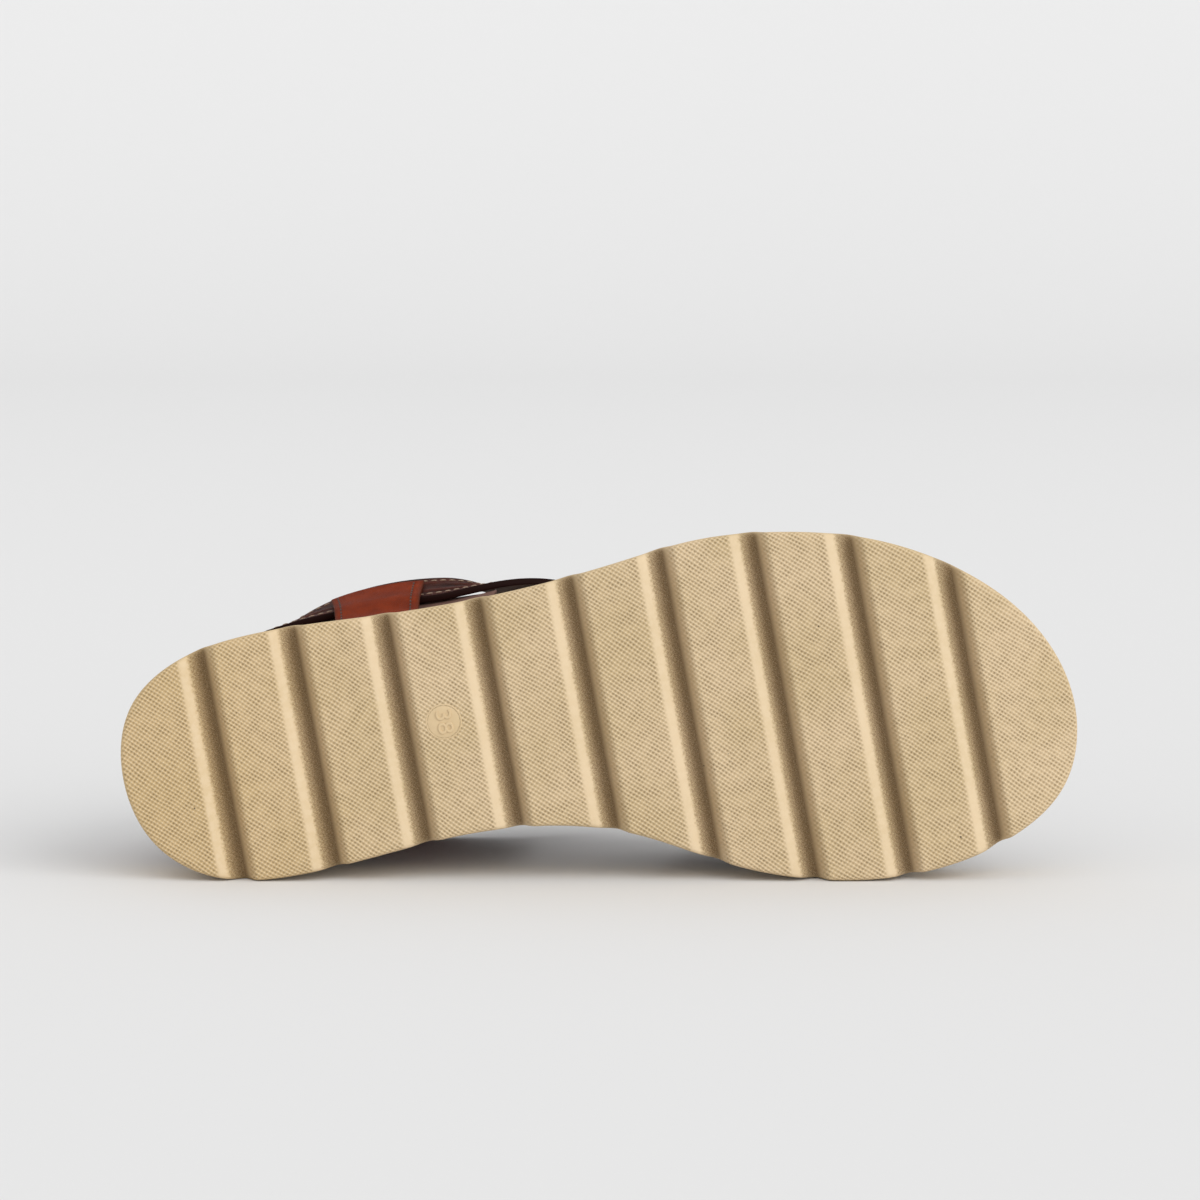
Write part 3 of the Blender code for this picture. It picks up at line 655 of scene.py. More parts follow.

# %% [markdown]
# Leather parts are cut from a sheet, so each has a face, a painted edge and a lining side. One helper
# sweeps such a section along a piece. Its outer face has enough columns for soft creases, which are
# troughs with a ridge beside them, placed where this leather folds. The face number on each
# point lets one finish colour all three sides.

# %% A helper for leather pieces
EDGE_PAINT = 0.0004
RIDGE_PLACE = 1.7
RIDGE_SHARE = 0.55
LINING_OFFSET = 0.1


def section(half, wall, columns):
    """Points round a strap's section: (place across, lift, face), face being 1, 0.5 or 0."""
    r = min(EDGE_PAINT, 0.45 * wall)
    flat = half - r
    steps = [2 * i / columns - 1 for i in range(columns + 1)]
    outer = [(flat * s, wall, 1.0) for s in steps]
    corner = 0.3 * r
    edge = [
        (half - corner, wall - corner, 0.5),
        (half, wall - r, 0.5),
        (half, r, 0.5),
        (half - corner, corner, 0.5),
    ]
    inner = [(-flat * s, 0.0, 0.0) for s in steps]
    return outer + edge + inner + [(-across_place, lift, face) for across_place, lift, face in edge[::-1]]


def crease_depth(creases, along, place):
    """Lift of the outer face from a table of creases: troughs with a low ridge on one side."""
    lift = 0.0
    for middle, length, side, slant, width, depth in creases:
        reach_share = (along - middle) / length
        if abs(reach_share) < 1:
            away = (place - side - slant * (along - middle)) / width
            fade = (1 - reach_share**2) ** 2
            ridge = RIDGE_SHARE * math.exp(-((away - RIDGE_PLACE) ** 2))
            lift -= depth * fade * (math.exp(-(away**2)) - ridge)
    return lift


def sweep(name, stations, point, wall, columns, creases=(), capped=True):
    """A leather piece: stations holds (parameter, length along, half width) and point places it."""
    rows, flat, marks = [], [], {"face": [], "edge": [], "fold": []}
    for parameter, along, half in stations:
        around = section(half, wall, columns)
        folds = [crease_depth(creases, along, place) if face == 1.0 else 0.0 for place, _, face in around]
        rows.append([
            point(parameter, place, lift + fold, half) for (place, lift, _), fold in zip(around, folds)
        ])
        flat.append([(along, place + (LINING_OFFSET if face < 0.5 else 0.0)) for place, _, face in around])
        marks["face"].append([face for _, _, face in around])
        marks["edge"].append([(half - abs(place)) * 1000 for place, _, _ in around])
        marks["fold"].append([fold * 1000 for fold in folds])
    return skin(name, rows, flat, marks, capped)


def even_stations(parameters, lengths, half):
    """Stations for a piece of one width."""
    return [(float(parameter), float(along), half) for parameter, along in zip(parameters, lengths)]


print("points round a strap's section:", len(section(0.009, 0.002, 16)))

# %% [markdown]
# The counter is a stiff piece of brushed leather round the heel. It stands on the ledge, tucks under
# the strap and stops short of the instep on each side.

# %% Build the heel counter
COUNTER_BACK_RISE = 0.012
COUNTER_FRONT_DROP = 0.004
COUNTER_END = 0.104
COUNTER_RISE_FROM = 0.15
COUNTER_CREASES = [
    # middle, reach, across, slant, width, depth
    (0.030, 0.018, -0.012, 0.10, 0.0016, 0.00030),
    (0.152, 0.020, -0.010, -0.12, 0.0018, 0.00034),
    (0.060, 0.014, 0.004, -0.20, 0.0014, 0.00022),
    (0.128, 0.016, 0.006, 0.16, 0.0015, 0.00026),
]


def make_counter():
    end = turn_at(COUNTER_END)
    turns = np.linspace(end, 2 * math.pi - end, 181)

    def span(turn):
        share = (math.cos(end) - math.cos(turn)) / (1 + math.cos(end))
        back = float(soft_step(COUNTER_RISE_FROM, 1.0, share))
        top = -COUNTER_FRONT_DROP + (COUNTER_BACK_RISE + COUNTER_FRONT_DROP) * back
        return foot_rise(turn), top

    def point(turn, place, lift, half):
        bottom, top = span(turn)
        return collar_point(turn, (bottom + top) / 2 + place, lift - 2 * GAP - COUNTER_WALL)

    stations = [
        (float(turn), along, (span(turn)[1] - span(turn)[0]) / 2)
        for turn, along in zip(turns, along_ring(turns))
    ]
    return sweep("heel_counter_leather", stations, point, COUNTER_WALL, 28, COUNTER_CREASES)


counter = make_counter()
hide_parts("heel_counter")
print("counter:", len(counter.data.polygons), "faces")

# %% [markdown]
# The instep strap is one long band. It starts at the buckle's hinge bar, runs back round the heel and
# over the instep, passes under the buckle's front bar and lies over its own start. It is waxed leather
# that has been folded and pressed, so long creases run along it.

# %% Build the instep strap
BUCKLE_TURN = math.radians(10)
BUCKLE_LENGTH = 0.0150
BUCKLE_WIRE = 0.0010
BUCKLE_CORNER = 0.0020
PRONG_WIRE = 0.0008
PRONG_PLACE = 0.0037
STRAP_TIP = 0.0215
TIP_TAPER = math.radians(14)
TIP_BLUNT = 0.03
KEEPER_PLACE = 0.0110
KEEPER_WIDTH = 0.0050
KEEPER_WALL = 0.0012
HINGE = turn_after(BUCKLE_TURN, -BUCKLE_LENGTH / 2)
FRONT_BAR = turn_after(BUCKLE_TURN, BUCKLE_LENGTH / 2)
STRAP_START = turn_after(HINGE, -(BUCKLE_WIRE + GAP))
TIP = turn_after(HINGE, -STRAP_TIP) - 2 * math.pi

STRAP_CREASES = [
    # middle, reach, across, slant, width, depth
    (0.036, 0.016, 0.0052, -0.05, 0.0009, 0.00034),
    (0.043, 0.020, 0.0008, 0.06, 0.0010, 0.00038),
    (0.052, 0.018, -0.0042, 0.05, 0.0010, 0.00032),
    (0.064, 0.014, 0.0030, -0.08, 0.0008, 0.00026),
    (0.094, 0.018, -0.0020, 0.06, 0.0011, 0.00036),
    (0.104, 0.015, 0.0036, -0.04, 0.0009, 0.00030),
    (0.128, 0.020, -0.0035, -0.05, 0.0010, 0.00030),
    (0.150, 0.022, 0.0022, 0.04, 0.0010, 0.00034),
    (0.182, 0.020, -0.0015, 0.05, 0.0010, 0.00034),
    (0.205, 0.020, 0.0042, -0.04, 0.0009, 0.00030),
    (0.240, 0.020, 0.0010, 0.05, 0.0010, 0.00034),
    (0.262, 0.018, -0.0040, -0.05, 0.0009, 0.00030),
]


def over_lift(turn):
    """How far the strap's free end stands off, from the front bar over the hinge bar."""
    return (STRAP_WALL + GAP) * float(soft_step(-FRONT_BAR, -HINGE, -turn))


def strap_lift(turn):
    return over_lift(turn + 2 * math.pi) if turn < STRAP_START - math.pi else 0.0


def strap_half(turn):
    """Half the strap's width at a turn: it rounds off at the free end."""
    to_tip = min(1.0, max(0.0, (turn - TIP) / TIP_TAPER))
    return STRAP_WIDTH / 2 * math.sqrt(max(TIP_BLUNT, 1 - (1 - to_tip) ** 2))


def make_strap():
    turns = np.concatenate([
        np.linspace(STRAP_START, TIP + TIP_TAPER, 400),
        np.linspace(TIP + TIP_TAPER - math.radians(0.4), TIP, 26),
    ])
    stations = [(float(turn), along, strap_half(turn)) for turn, along in zip(turns, along_ring(turns))]
    return sweep(
        "instep_strap_leather",
        stations,
        lambda turn, place, lift, half: collar_point(turn, place, lift + strap_lift(turn)),
        STRAP_WALL,
        18,
        STRAP_CREASES,
    )


strap = make_strap()
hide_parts("instep_strap")
print("instep strap:", len(strap.data.polygons), "faces")

# %% [markdown]
# Each side tab comes up from the ledge, steps out over the strap and is sewn down to both. It is
# orange-brown leather with a burnished edge, and it is a little plump between its two seams.

# %% Build the side tabs
TAB_REAR = 0.0594
TAB_WIDTH = 0.0256
TAB_TOP_MARGIN = 0.0060
TAB_STEP = 0.018
TAB_PLUMP = 0.00035
TAB_SEAM_TOP = 0.0012


def over_strap(rise):
    """How far a tab stands off to lie over the strap at a rise."""
    return (STRAP_WALL + GAP) * float(
        soft_step(-STRAP_WIDTH / 2 - TAB_STEP, -STRAP_WIDTH / 2 - STRAP_WALL, rise)
    )


def make_tab(name, side):
    rear, front = turn_at(TAB_REAR), turn_at(TAB_REAR + TAB_WIDTH)
    middle = (rear + front) / 2
    width = float(along_ring([rear, middle, front])[-1])
    bottom, top = foot_rise(side * middle), STRAP_WIDTH / 2 - TAB_TOP_MARGIN
    rises = np.linspace(bottom, top, 61)

    def point(rise, place, lift, half):
        turn = middle + (rear - front) * place / width
        low = foot_rise(side * turn)
        climb = low + (rise - bottom) / (top - bottom) * (top - low)
        plump = TAB_PLUMP * max(0.0, 1 - (place / half) ** 2) if lift > TAB_WALL / 2 else 0.0
        return collar_point(side * turn, climb, lift + over_strap(climb) + plump)

    return sweep(name, even_stations(rises, rises - bottom, width / 2), point, TAB_WALL, 22)


for node, side in (("side_tab_inner", 1), ("side_tab_outer", -1)):
    tab = make_tab(node + "_leather", side)
    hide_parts(node)
    print(node, len(tab.data.polygons), "faces")

# %% [markdown]
# Over the forefoot two broad straps cross. Both follow the top of the foot, a rounded arch over the
# sole's width, and the front one climbs over the other where they meet. The solid in the frame joins
# them. Here they stay two skins that touch, as the leather does, with creases where toes bend.

# %% Build the forefoot straps
INSTEP_HEIGHT = 0.066
VAMP_STRAP_WIDTH = 0.031
VAMP_LAP = 0.0004
FRONT_STRAP = (0.775 * SOLE_LENGTH, 0.582 * SOLE_LENGTH)
REAR_STRAP = (0.598 * SOLE_LENGTH, 0.732 * SOLE_LENGTH)
VAMP_CLIMB = 0.010
STRAP_SPAN = 1.3
LAST_FULLNESS = 2.5
CREST_SHIFT = 0.0060

LAST_CREST = [
    # forward, height
    (0.40, 1.02),
    (0.50, 0.88),
    (0.60, 0.70),
    (0.70, 0.56),
    (0.80, 0.48),
    (0.90, 0.42),
    (1.00, 0.36),
]

VAMP_CREASES = [
    # middle, reach, across, slant, width, depth
    (0.046, 0.022, 0.0050, -0.12, 0.0016, 0.00045),
    (0.060, 0.024, -0.0030, 0.10, 0.0018, 0.00050),
    (0.074, 0.020, 0.0075, 0.06, 0.0015, 0.00040),
    (0.090, 0.020, -0.0075, -0.10, 0.0015, 0.00038),
    (0.030, 0.016, -0.0070, 0.14, 0.0014, 0.00034),
]


def last_surface(x, turn):
    """Top of the foot: turn runs from the inner feather edge (0) to the outer one (pi)."""
    low, high = across(FEATHER_EDGE, x)
    crest = float(smooth_row(LAST_CREST, np.array(x / SOLE_LENGTH))) * INSTEP_HEIGHT
    power = 2 / LAST_FULLNESS
    cosine, sine = math.cos(turn), math.sin(turn)
    y = (low + high) / 2 + (high - low) / 2 * math.copysign(abs(cosine) ** power, cosine)
    bow = math.copysign(abs(sine) ** power, sine)
    return np.array((x, y + CREST_SHIFT * bow**3, seat_height(x) + GAP + crest * bow))


def last_point(x, turn, lift):
    """A point off the foot's surface by lift."""
    return off_surface(last_surface, x, turn, -lift, 0.001, math.radians(0.5))


def strap_middle(ends, turn):
    """Where a crossed strap's middle line lies: it swings evenly from inner to outer side."""
    return ends[0] + (ends[1] - ends[0]) * turn / math.pi


def vamp_half(ends):
    """Half a crossed strap's width along the sole, which is more than across the strap."""
    skew = math.atan2(abs(ends[1] - ends[0]), STRAP_SPAN * BALL_WIDTH)
    return VAMP_STRAP_WIDTH / 2 / math.cos(skew)


def lap_lift(x, turn, under, half):
    """How far the front strap climbs over the other at a place."""
    apart = abs(x - strap_middle(under, turn)) - half
    return (STRAP_WALL - VAMP_LAP) * (1 - float(soft_step(3 * GAP, 3 * GAP + VAMP_CLIMB, apart)))


def make_vamp_strap(name, ends, under=None):
    turns = np.linspace(0.0, math.pi, 141)
    line = np.array([last_point(strap_middle(ends, turn), turn, 0.0) for turn in turns])

    def point(turn, place, lift, half):
        x = strap_middle(ends, turn) + place
        return last_point(x, turn, lift + (lap_lift(x, turn, under, half) if under else 0.0))

    stations = even_stations(turns, run_length(line), vamp_half(ends))
    return sweep(name, stations, point, STRAP_WALL, 26, VAMP_CREASES)


rear_strap = make_vamp_strap("forefoot_strap_rear", REAR_STRAP)
front_strap = make_vamp_strap("forefoot_strap_front", FRONT_STRAP, under=REAR_STRAP)
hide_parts("forefoot_straps")
print("forefoot straps:", len(rear_strap.data.polygons) + len(front_strap.data.polygons), "faces")

# %% [markdown]
# The buckle is bent wire: a frame with a hinge bar under the strap and a front bar over it, and a
# prong that is curled round the hinge bar. A curve with a round bevel is how wire is made. The frame
# and the prong follow the strap, so they lie flat on it all the way.

# %% Build the buckle and the keeper
CORNER_STEPS = 8
SIDE_SHARES = (-0.6, -0.2, 0.2, 0.6)
KEEPER_STEPS = 40
KEEPER_SQUARENESS = 0.35
KEEPER_STEP = 0.0012


def buckle_lift(share):
    """Lift of the buckle's wire from its hinge bar (0) to its front bar (1)."""
    return BUCKLE_WIRE + (STRAP_WALL + 3 * GAP) * share


def wire(name, points, radius, closed):
    """A round wire through points in the sandal's frame."""
    curve = bpy.data.curves.new(name, "CURVE")
    curve.dimensions = "3D"
    curve.bevel_depth = radius
    curve.bevel_resolution = 5
    curve.use_fill_caps = True
    spline = curve.splines.new("POLY")
    spline.points.add(len(points) - 1)
    for target, point in zip(spline.points, points):
        target.co = (*(SANDAL @ Vector(point)), 1.0)
    spline.use_cyclic_u = closed
    return as_mesh(name, curve, Matrix())


def make_buckle():
    half_width = STRAP_WIDTH / 2 + GAP + BUCKLE_WIRE
    flat_side = half_width - BUCKLE_CORNER
    flat_run = BUCKLE_LENGTH / 2 - BUCKLE_CORNER
    outline = []
    for i, (end, side) in enumerate(((1, 1), (-1, 1), (-1, -1), (1, -1))):
        for k in range(CORNER_STEPS + 1):
            angle = math.radians(90 * (i + k / CORNER_STEPS))
            along = end * flat_run + BUCKLE_CORNER * math.cos(angle)
            outline.append((along, side * flat_side + BUCKLE_CORNER * math.sin(angle)))
        if i in (0, 2):
            outline += [(-end * share * flat_run, side * half_width) for share in SIDE_SHARES]
    points = []
    for along, side in outline:
        share = along / BUCKLE_LENGTH + 0.5
        points.append(collar_point(turn_after(HINGE, share * BUCKLE_LENGTH), side, buckle_lift(share)))
    return wire("buckle_frame_wire", points, BUCKLE_WIRE, closed=True)


def make_prong():
    rest = buckle_lift(1) + BUCKLE_WIRE + GAP / 3 + PRONG_WIRE
    curl = BUCKLE_WIRE + PRONG_WIRE
    run = BUCKLE_LENGTH - PRONG_PLACE
    path = []
    for k in range(13):
        angle = math.radians(300 - 25 * k)
        path.append((curl * math.cos(angle), BUCKLE_WIRE + curl * math.sin(angle)))
    path += [
        # distance before the hinge bar, lift
        (PRONG_PLACE - 1.2 * PRONG_WIRE, 1.3 * BUCKLE_WIRE),
        (PRONG_PLACE - 0.3 * PRONG_WIRE, 2.2 * BUCKLE_WIRE),
        (PRONG_PLACE + 0.2 * PRONG_WIRE, rest - 1.6 * PRONG_WIRE),
        (PRONG_PLACE + PRONG_WIRE + 0.05 * run, rest - 0.3 * PRONG_WIRE),
        (PRONG_PLACE + 0.3 * run, rest + 0.4 * PRONG_WIRE),
        (PRONG_PLACE + 0.6 * run, rest + 0.4 * PRONG_WIRE),
        (BUCKLE_LENGTH, rest),
        (BUCKLE_LENGTH + 2.2 * BUCKLE_WIRE, rest - 0.3 * PRONG_WIRE),
    ]
    points = [collar_point(turn_after(HINGE, along), 0, lift) for along, lift in path]
    return wire("buckle_prong_wire", points, PRONG_WIRE, closed=False)


def square_wave(value):
    """A sine or cosine made square, for a loop with flat sides."""
    return math.copysign(abs(value) ** KEEPER_SQUARENESS, value)


def make_keeper():
    middle = turn_after(HINGE, -KEEPER_PLACE)
    half = STRAP_WIDTH / 2 + GAP
    low, high = -GAP, 2 * STRAP_WALL + 2 * GAP

    def point(step, place, wall_lift, _):
        angle = 2 * math.pi * step / KEEPER_STEPS
        across_share, lift_share = square_wave(math.cos(angle)), square_wave(math.sin(angle))
        rise = across_share * (half + wall_lift)
        lift = (low + high) / 2 + lift_share * ((high - low) / 2 + wall_lift)
        return collar_point(turn_after(middle, place), rise, lift)

    steps = np.arange(KEEPER_STEPS + 1) % KEEPER_STEPS
    stations = even_stations(steps, steps * KEEPER_STEP, KEEPER_WIDTH / 2)
    return sweep("strap_keeper_leather", stations, point, KEEPER_WALL, 6, capped=False)


buckle = make_buckle()
prong = make_prong()
keeper = make_keeper()
for piece, node, slot in (
    (buckle, "buckle_frame", "old_brass"),
    (prong, "buckle_prong", "old_brass"),
    (keeper, "strap_keeper", "dark_leather"),
):
    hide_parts(node)
print("buckle wire radius", BUCKLE_WIRE, "prong", PRONG_WIRE)

# %% [markdown]
# Seams are rows of short stitches that sink in at both ends. One bead is modelled, and numpy lays
# copies of it along a path, all joined in one mesh for each seam. Geometry nodes could do the same,
# but here the path is a formula already, so a loop is shorter.

# %% A helper for seams, and the seams
STITCH_PITCH = 0.0026
STITCH_LENGTH = 0.0020
STITCH_RADIUS = 0.00026
STRAP_SEAM = 0.0064
TAB_SEAM_REAR = 0.0019
TAB_SEAM_FRONT = 0.0026
VAMP_SEAM = 0.0030


def bead():
    """One stitch: a rounded, slightly arched bead along x, with its faces."""
    rings, around = 7, 6
    points = []
    for i in range(rings):
        share = i / (rings - 1) * 2 - 1
        size = math.sqrt(max(0.02, 1 - abs(share) ** 3))
        for k in range(around):
            angle = 2 * math.pi * k / around
            lift = STITCH_RADIUS * (0.7 * math.cos(angle) * size + 0.55 * (1 - share**2) - 0.25)
            points.append((share * STITCH_LENGTH / 2, STITCH_RADIUS * size * math.sin(angle), lift))
    caps = [face[::-1] for face in end_faces(rings, around)]
    return np.array(points), grid_faces(rings, around) + caps


def seam(name, points, outs):
    """Lays stitches along points in the sandal's frame; outs holds the way out of the leather."""
    lengths = run_length(points)

    def at(distance, line):
        return np.array([np.interp(distance, lengths, line[:, axis]) for axis in range(3)])

    shape, shape_faces = bead()
    corners, faces = [], []
    count = max(1, int(lengths[-1] / STITCH_PITCH))
    for i in range(count):
        middle = (i + 0.5) * lengths[-1] / count
        ends = [at(middle + reach_out * STITCH_LENGTH / 2, points) for reach_out in (-1, 1)]
        along = (ends[1] - ends[0]) / np.linalg.norm(ends[1] - ends[0])
        out = at(middle, outs)
        out = out - along * out.dot(along)
        out /= np.linalg.norm(out)
        axes = np.stack([along, np.cross(out, along), out])
        faces += [[index + len(corners) for index in face] for face in shape_faces]
        corners += (shape @ axes + at(middle, points)).tolist()
    mesh = bpy.data.meshes.new(name)
    mesh.from_pydata(corners, [], faces)
    mesh.transform(SANDAL)
    return ride(name, mesh)


def seam_along(name, point, places):
    """A seam through places, where point(place, lift) gives a point that far off the leather."""
    points = np.array([point(place, 0.0) for place in places])
    outs = np.array([point(place, 0.001) for place in places]) - points
    return seam(name, points, outs)


def strap_seam(name, rise):
    turns = np.linspace(STRAP_START - 0.12, STRAP_START - 2 * math.pi + 0.45, 160)
    return seam_along(name, lambda turn, lift: collar_point(turn, rise, STRAP_WALL + lift), turns)


def tab_seam(name, side, from_rear):
    turn = side * turn_at(TAB_REAR + from_rear)
    rises = np.linspace(foot_rise(turn) + 0.001, STRAP_WIDTH / 2 - TAB_TOP_MARGIN - TAB_SEAM_TOP, 40)
    plump = TAB_PLUMP * max(0.0, 1 - (1 - 2 * from_rear / TAB_WIDTH) ** 2)

    def point(rise, lift):
        return collar_point(turn, rise, over_strap(rise) + TAB_WALL + plump + lift)

    return seam_along(name, point, rises)


def vamp_seam(name, ends, edge_side, under):
    half = vamp_half(ends)
    turns = np.linspace(0.06, math.pi - 0.06, 120)

    def point(turn, lift):
        x = strap_middle(ends, turn) + edge_side * (half - VAMP_SEAM)
        return last_point(x, turn, STRAP_WALL + lap_lift(x, turn, under, half) + lift)

    return seam_along(name, point, turns)


pale_seams = [strap_seam("strap_seam_upper", STRAP_SEAM), strap_seam("strap_seam_lower", -STRAP_SEAM)]
dark_seams = []
for label, side in (("inner", 1), ("outer", -1)):
    dark_seams.append(tab_seam(f"tab_seam_{label}_rear", side, TAB_SEAM_REAR))
    dark_seams.append(tab_seam(f"tab_seam_{label}_front", side, TAB_WIDTH - TAB_SEAM_FRONT))
for label, edge_side in (("rear", -1), ("front", 1)):
    pale_seams.append(vamp_seam(f"front_strap_seam_{label}", FRONT_STRAP, edge_side, REAR_STRAP))
for piece in pale_seams + dark_seams:
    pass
print("stitched seams:", len(pale_seams) + len(dark_seams))

# %% [markdown]
# Finishes are written as sums. A small class holds one output of a node, and adding, multiplying or
# raising it adds the Math node that does it, so a mask reads like the formula that it is. Colours are
# mixed by Mix nodes, and any other node comes from one method.

# %% Shader maths
class Value:
    """One number that a node gives. Arithmetic on it adds Math nodes to its tree."""

    def __init__(self, tree, socket):
        self.tree = tree
        self.socket = socket

    def maths(self, operation, *terms):
        node = self.tree.nodes.new("ShaderNodeMath")
        node.operation = operation
        for socket, term in zip(node.inputs, terms):
            put(self.tree, socket, term)
        return Value(self.tree, node.outputs[0])

    def __add__(self, other):
        return self.maths("ADD", self, other)

    def __sub__(self, other):
        return self.maths("SUBTRACT", self, other)

    def __mul__(self, other):
        return self.maths("MULTIPLY", self, other)

    def __truediv__(self, other):
        return self.maths("DIVIDE", self, other)

    def __pow__(self, other):
        return self.maths("POWER", self, other)

    def __rsub__(self, other):
        return self.maths("SUBTRACT", other, self)

    def __rtruediv__(self, other):
        return self.maths("DIVIDE", other, self)

    __radd__ = __add__
    __rmul__ = __mul__

    def rounded(self):
        return self.maths("ROUND", self)

    def sine(self):
        return self.maths("SINE", self)

    def size(self):
        return self.maths("ABSOLUTE", self)

    def least(self, other):
        return self.maths("MINIMUM", self, other)

    def most(self, other):
        return self.maths("MAXIMUM", self, other)

    def step(self, low, high):
        """0 below low, 1 above high and smooth between."""
        node = self.tree.nodes.new("ShaderNodeMapRange")
        node.interpolation_type = "SMOOTHSTEP"
        put(self.tree, node.inputs["Value"], self)
        node.inputs["From Min"].default_value = low
        node.inputs["From Max"].default_value = high
        return Value(self.tree, node.outputs[0])


def put(tree, socket, value):
    """Links a value to a socket, or sets the socket's own number or colour."""
    if isinstance(value, Value):
        tree.links.new(value.socket, socket)
    elif isinstance(value, tuple) and len(value) == 3 and socket.type == "RGBA":
        socket.default_value = (*value, 1.0)
    else:
        socket.default_value = value


class Finish:
    """A material, built up from nodes by name."""

    def __init__(self, name):
        self.material = bpy.data.materials.new(name)
        self.material.use_nodes = True
        self.tree = self.material.node_tree
        self.shader = self.tree.nodes["Principled BSDF"]

    def node(self, kind, settings=None, output=0, **inputs):
        """Adds a node: its settings first, then its sockets, by name with _ for a blank."""
        node = self.tree.nodes.new(kind)
        for setting, value in (settings or {}).items():
            setattr(node, setting, value)
        for name, value in inputs.items():
            put(self.tree, node.inputs[name.replace("_", " ")], value)
        return Value(self.tree, node.outputs[output])

    def mark(self, name):
        return self.node("ShaderNodeAttribute", {"attribute_name": name}, output="Fac")

    def flat(self):
        """Map coordinates along and across, in millimetres, and both as one vector."""
        uv = self.node("ShaderNodeUVMap", {"uv_map": "flat"}, output="UV")
        scaled = self.node("ShaderNodeVectorMath", {"operation": "SCALE"}, output="Vector")
        node = scaled.socket.node
        put(self.tree, node.inputs[0], uv)
        node.inputs["Scale"].default_value = 1000.0
        split = self.node("ShaderNodeSeparateXYZ", output="X", Vector=scaled)
        return split, Value(self.tree, split.socket.node.outputs["Y"]), scaled

    def noise(self, place, scale, detail=2.0, roughness=0.5):
        return self.node("ShaderNodeTexNoise", None, "Fac", Vector=place, Scale=scale, Detail=detail,
                         Roughness=roughness)

    def stretch(self, place, across, turn=0.0):
        """Map coordinates turned and scaled, so that a texture on them is drawn out."""
        return self.node("ShaderNodeMapping", None, "Vector", Vector=place, Scale=across,
                         Rotation=(0.0, 0.0, turn))

    def mix(self, factor, first, second):
        node = self.tree.nodes.new("ShaderNodeMix")
        node.data_type = "RGBA"
        put(self.tree, node.inputs[0], factor)
        put(self.tree, node.inputs[6], first)
        put(self.tree, node.inputs[7], second)
        return Value(self.tree, node.outputs[2])

    def coats(self, colour, layers):
        """Mixes coats over a colour in their order, each a factor and a colour."""
        for factor, coat in layers:
            colour = self.mix(factor, colour, coat)
        return colour

    def bump(self, height, distance=0.001):
        """Surface relief of a height, distance being the height's scale in metres."""
        return self.node("ShaderNodeBump", None, "Normal", Height=height, Distance=distance, Strength=1.0)

    def surface(self, **inputs):
        for name, value in inputs.items():
            put(self.tree, self.shader.inputs[name.replace("_", " ")], value)
        return self.material


def tinted(colour, factor):
    """A colour made darker or lighter, up to white."""
    return tuple(min(1.0, part * factor) for part in colour)


print("shader helpers ready")

# %% [markdown]
# The tread is matt tan rubber with the print of the canvas that lined the mould: rows of dimples a
# millimetre apart. A weave is two waves multiplied, with painted shade in the dimples and a painted
# highlight on the knots between them. The print fades on each groove's shoulder, is rubbed on the
# ramp and is gone on the wall beside it. Painted light is drawn from the distance to the groove's
# floor: a painted highlight on the shoulder, and painted shade on the ramp, the floor and the wall.
# Pale flecks lie on the ramp. A few dark specks and a soft mottle keep it from looking new, and
# painted shade darkens the heel end.

# %% Finish of the tread
WARP = (-0.672, 0.742)
WEFT = (0.705, 0.718)
TAN = {
    "plain": (0.590, 0.447, 0.256),
    "pale": (0.660, 0.503, 0.312),
    "mottled": (0.50, 0.375, 0.215),
    # painted shade that darkens the heel end of the tread
    "heel": (0.57, 0.40, 0.19),
    # painted shade in the canvas print's dimples
    "dimple": (0.190, 0.115, 0.040),
    # painted highlight on the knots between the dimples
    "knot": (0.92, 0.78, 0.56),
    # painted highlight on each groove's shoulder
    "shoulder": (0.735, 0.590, 0.400),
    # painted shade on each groove's toe-side wall
    "wall": (0.480, 0.350, 0.205),
    # painted shade on each groove's ramp
    "painted_ramp_shade": (0.150, 0.085, 0.028),
    # paler flecks on each groove's ramp
    "pale_ramp_fleck": (0.66, 0.50, 0.30),
    # painted shade on each groove's floor
    "floor": (0.120, 0.066, 0.022),
    "speck": (0.05, 0.032, 0.018),
    "dirt": (0.33, 0.24, 0.13),
    # painted shade in the thin groove round the size mark
    "painted joint shade": (0.16, 0.10, 0.045),
}

# Where each zone fades in and out, in millimetres from a groove's floor towards the toe.
SHOULDER_ZONE = ((-7.4, -5.9), (-4.6, -3.2))
WALL_ZONE = ((-0.1, 0.5), (0.7, 3.4))
RAMP_ZONE = ((-4.4, -3.0), (0.1, 0.9))
FLOOR_ZONE = ((-4.6, -0.5), (0.2, 1.7))


def thread_wave(place, bend):
    """A wave from 0 to 1 along a place in threads, pushed aside by bend."""
    return ((place * (2 * math.pi) + bend).sine() + 1) * 0.5


def groove_zones(rubber, x, place):
    """Masks of shoulder, wall, ramp and floor, from the distance to the nearest groove's floor."""
    past_first, pitch = x - FIRST_GROOVE * 1000, GROOVE_PITCH * 1000
    nearest = (past_first / pitch).rounded().most(0.0).least(GROOVE_COUNT - 1.0)
    distance = past_first - nearest * pitch
    wobble = (rubber.noise(place, 1.1, 3.0, 0.6) - 0.5) * 1.5
    uneven = distance + wobble
    shoulder = distance.step(*SHOULDER_ZONE[0]) * (1 - (distance + wobble * 1.6).step(*SHOULDER_ZONE[1]))
    wall = (distance + wobble * 0.4).step(*WALL_ZONE[0]) * (1 - uneven.step(*WALL_ZONE[1]))
    ramp = uneven.step(*RAMP_ZONE[0]) * (1 - distance.step(*RAMP_ZONE[1]))
    floor = uneven.step(*FLOOR_ZONE[0]) ** 1.6 * (1 - distance.step(*FLOOR_ZONE[1]))
    return shoulder, wall, ramp, floor


